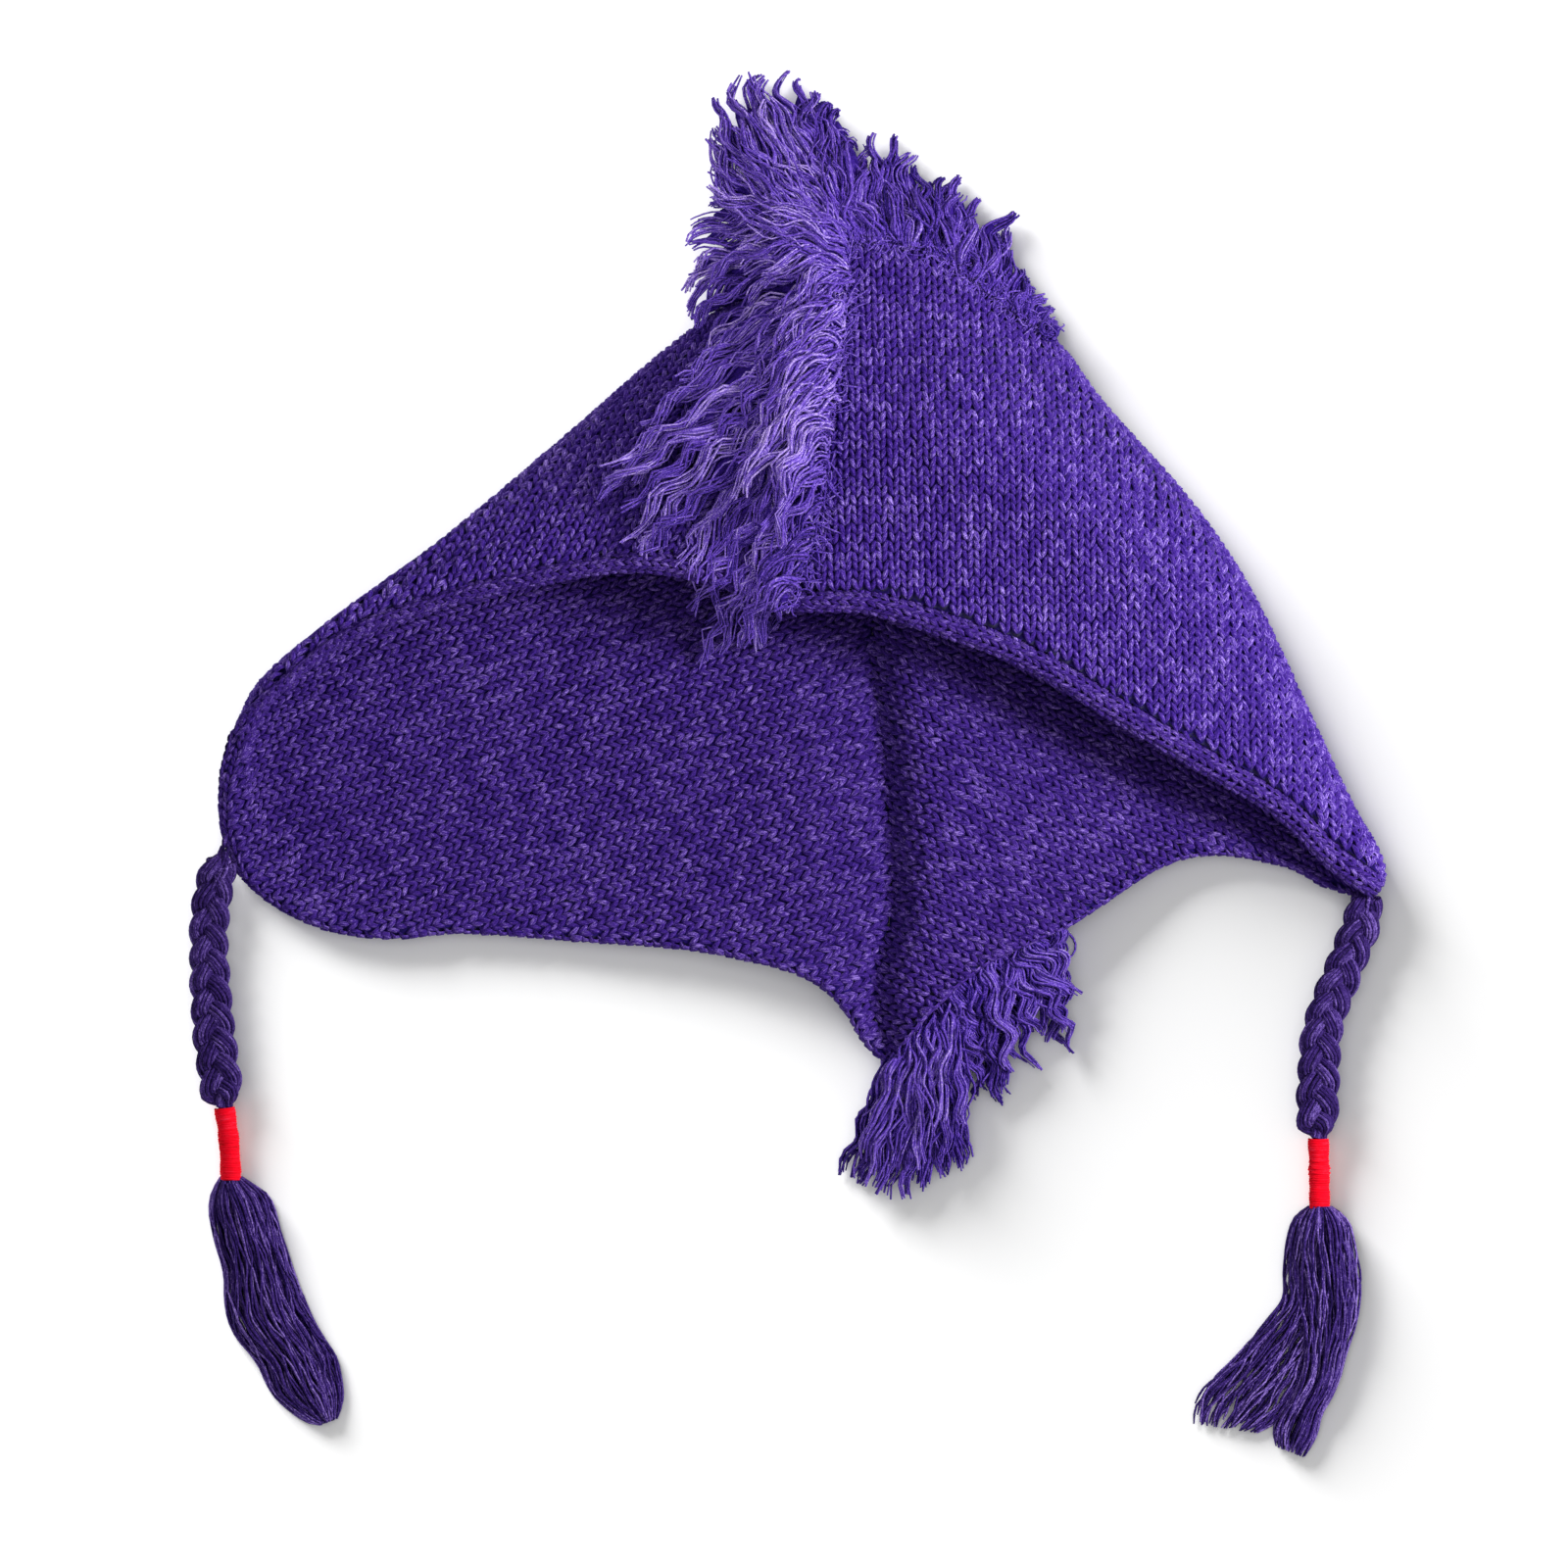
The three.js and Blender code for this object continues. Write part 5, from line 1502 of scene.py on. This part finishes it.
# Locks that fall over the rim at the nape; heights are those of the lowest strand where it rises,
# bends and ends, and how much higher the top one is there
LOWEST_STRAND = 0.8
NAPE_STATIONS = 22
NAPE_STRANDS = 14
# Each layer's paleness: how much paler the top strands are than the lowest, as painted light on top
NAPE_LOCKS = [
    {
        "name": "nape curls", "rows": NAPE_CURLS, "locks": 36, "jitter": 1.6, "lean": 0.35,
        "heights": [(3.0, 2.0), (3.0, 11.0), (1.5, 7.0)], "shorter": (0.4, 0.08), "paleness_and_painted_light": 0.5,
        "crinkle": {"loose": 2.5, "swing": (1.6, 3.4), "tight": 1.25, "hooked": 4.0},
    },
    {
        "name": "nape bundle", "rows": NAPE_BUNDLE, "locks": 34, "jitter": 1.4, "lean": 0.3,
        "heights": [(4.0, 2.0), (4.0, 13.0), (2.0, 11.0)], "shorter": (0.35, 0.1), "paleness_and_painted_light": 0.55,
        "crinkle": {"loose": 3.2, "swing": (0.6, 1.5), "tight": 1.0, "hooked": 1.5},
    },
]


def hanging_locks(random, facts):
    locks = facts["locks"]
    (root, bend, tip), order = spread_strands(random, facts["rows"], locks, NAPE_STRANDS, facts["jitter"])
    level = random.random(locks)[order]
    rise, bend_height, tip_height = [low + more * level for low, more in facts["heights"]]
    standing = mix(root, raised(bend, root[:, 2]), facts["lean"])
    standing[:, 2] += rise
    by_lock, by_strand = facts["shorter"]
    reach = 1 - by_lock * level * random.random(locks)[order] - by_strand * random.random(len(order))
    paths = bezier(root, standing, raised(bend, bend_height), raised(tip, tip_height), NAPE_STATIONS, reach)
    paths = crinkled(random, paths, order, **facts["crinkle"])
    paths[..., 2] = np.maximum(paths[..., 2], LOWEST_STRAND)
    # Strands higher in a lock are paler: painted light on top
    return strand_mesh(facts["name"], paths, random, 0.05 + facts["paleness_and_painted_light"] * level)


def nape_fringe(random, under_map):
    hanging = [under_locks(random, under_map)] + [hanging_locks(random, facts) for facts in NAPE_LOCKS]
    return join(hanging + [nape_body()], "nape_yarn")


# Lamps, and what each of them lights: one draws the floor's shadow, one fills it, one shapes the
# knit, and one lights the fringe's left side
LAMPS_AIM = (0, -0.04, 0.02)
LAMPS = [
    {"name": "floor lamp", "place": (-2.9, 3.66, 1.8), "size": 2.6, "power": 520.0, "lights": "ground"},
    {"name": "floor fill", "place": (0.0, 0.0, 3.5), "size": 3.0, "power": 26.0, "lights": "ground"},
    {"name": "knit lamp", "place": (0.87, 0.12, 0.76), "size": 0.35, "power": 14.5, "lights": "knit"},
    {"name": "fringe lamp", "place": (-0.5, 0.0, 0.8), "size": 0.35, "power": 2.4, "lights": "fringe"},
]


def make_lamp(name, place, size, power, receivers):
    data = bpy.data.lights.new(name, "AREA")
    data.shape = "SQUARE"
    data.size = size
    data.energy = power
    lamp = bpy.data.objects.new(name, data)
    lamp.location = place
    aim = Vector(LAMPS_AIM) - Vector(place)
    lamp.rotation_mode = "QUATERNION"
    lamp.rotation_quaternion = aim.to_track_quat("-Z", "Y")
    bpy.context.collection.objects.link(lamp)
    lamp.light_linking.receiver_collection = receivers


FLOOR_HALF = 6000.0
FLOOR_HEIGHT = -0.1
WORLD_LIGHT = 0.42


def make_stage():
    bpy.context.scene.view_settings.view_transform = "Standard"
    floor_material = Nodes("floor").shader((0.9, 0.9, 0.9, 1), 0.9)
    around = ((-1, -1), (1, -1), (1, 1), (-1, 1))
    corners = [(x * FLOOR_HALF, y * FLOOR_HALF, FLOOR_HEIGHT) for x, y in around]
    floor = make_mesh("floor", corners, [[0, 1, 2, 3]], floor_material, smooth=False)
    world = bpy.data.worlds.new("studio")
    world.use_nodes = True
    background = world.node_tree.nodes["Background"]
    background.inputs[0].default_value = (1.0, 1.0, 1.0, 1)
    background.inputs[1].default_value = WORLD_LIGHT
    bpy.context.scene.world = world
    return floor


def make_lamps(floor):
    lit = {name: bpy.data.collections.new(name) for name in ("ground", "knit", "fringe")}
    lit["ground"].objects.link(floor)
    for thing in bpy.context.scene.objects:
        if thing.type == "MESH" and thing is not floor:
            lit["knit"].objects.link(thing)
        if thing.name in [layer["name"] for layer in LOCK_LAYERS]:
            lit["fringe"].objects.link(thing)
    for row in LAMPS:
        make_lamp(row["name"], row["place"], row["size"], row["power"], lit[row["lights"]])


random = np.random.default_rng(SEED)
make_camera()
make_ties(random)
floor = make_stage()
make_panels(random)
make_edge(random)
make_fringe(np.random.default_rng(SEED + 1), HeightMap("front"), HeightMap("back"))
make_lamps(floor)
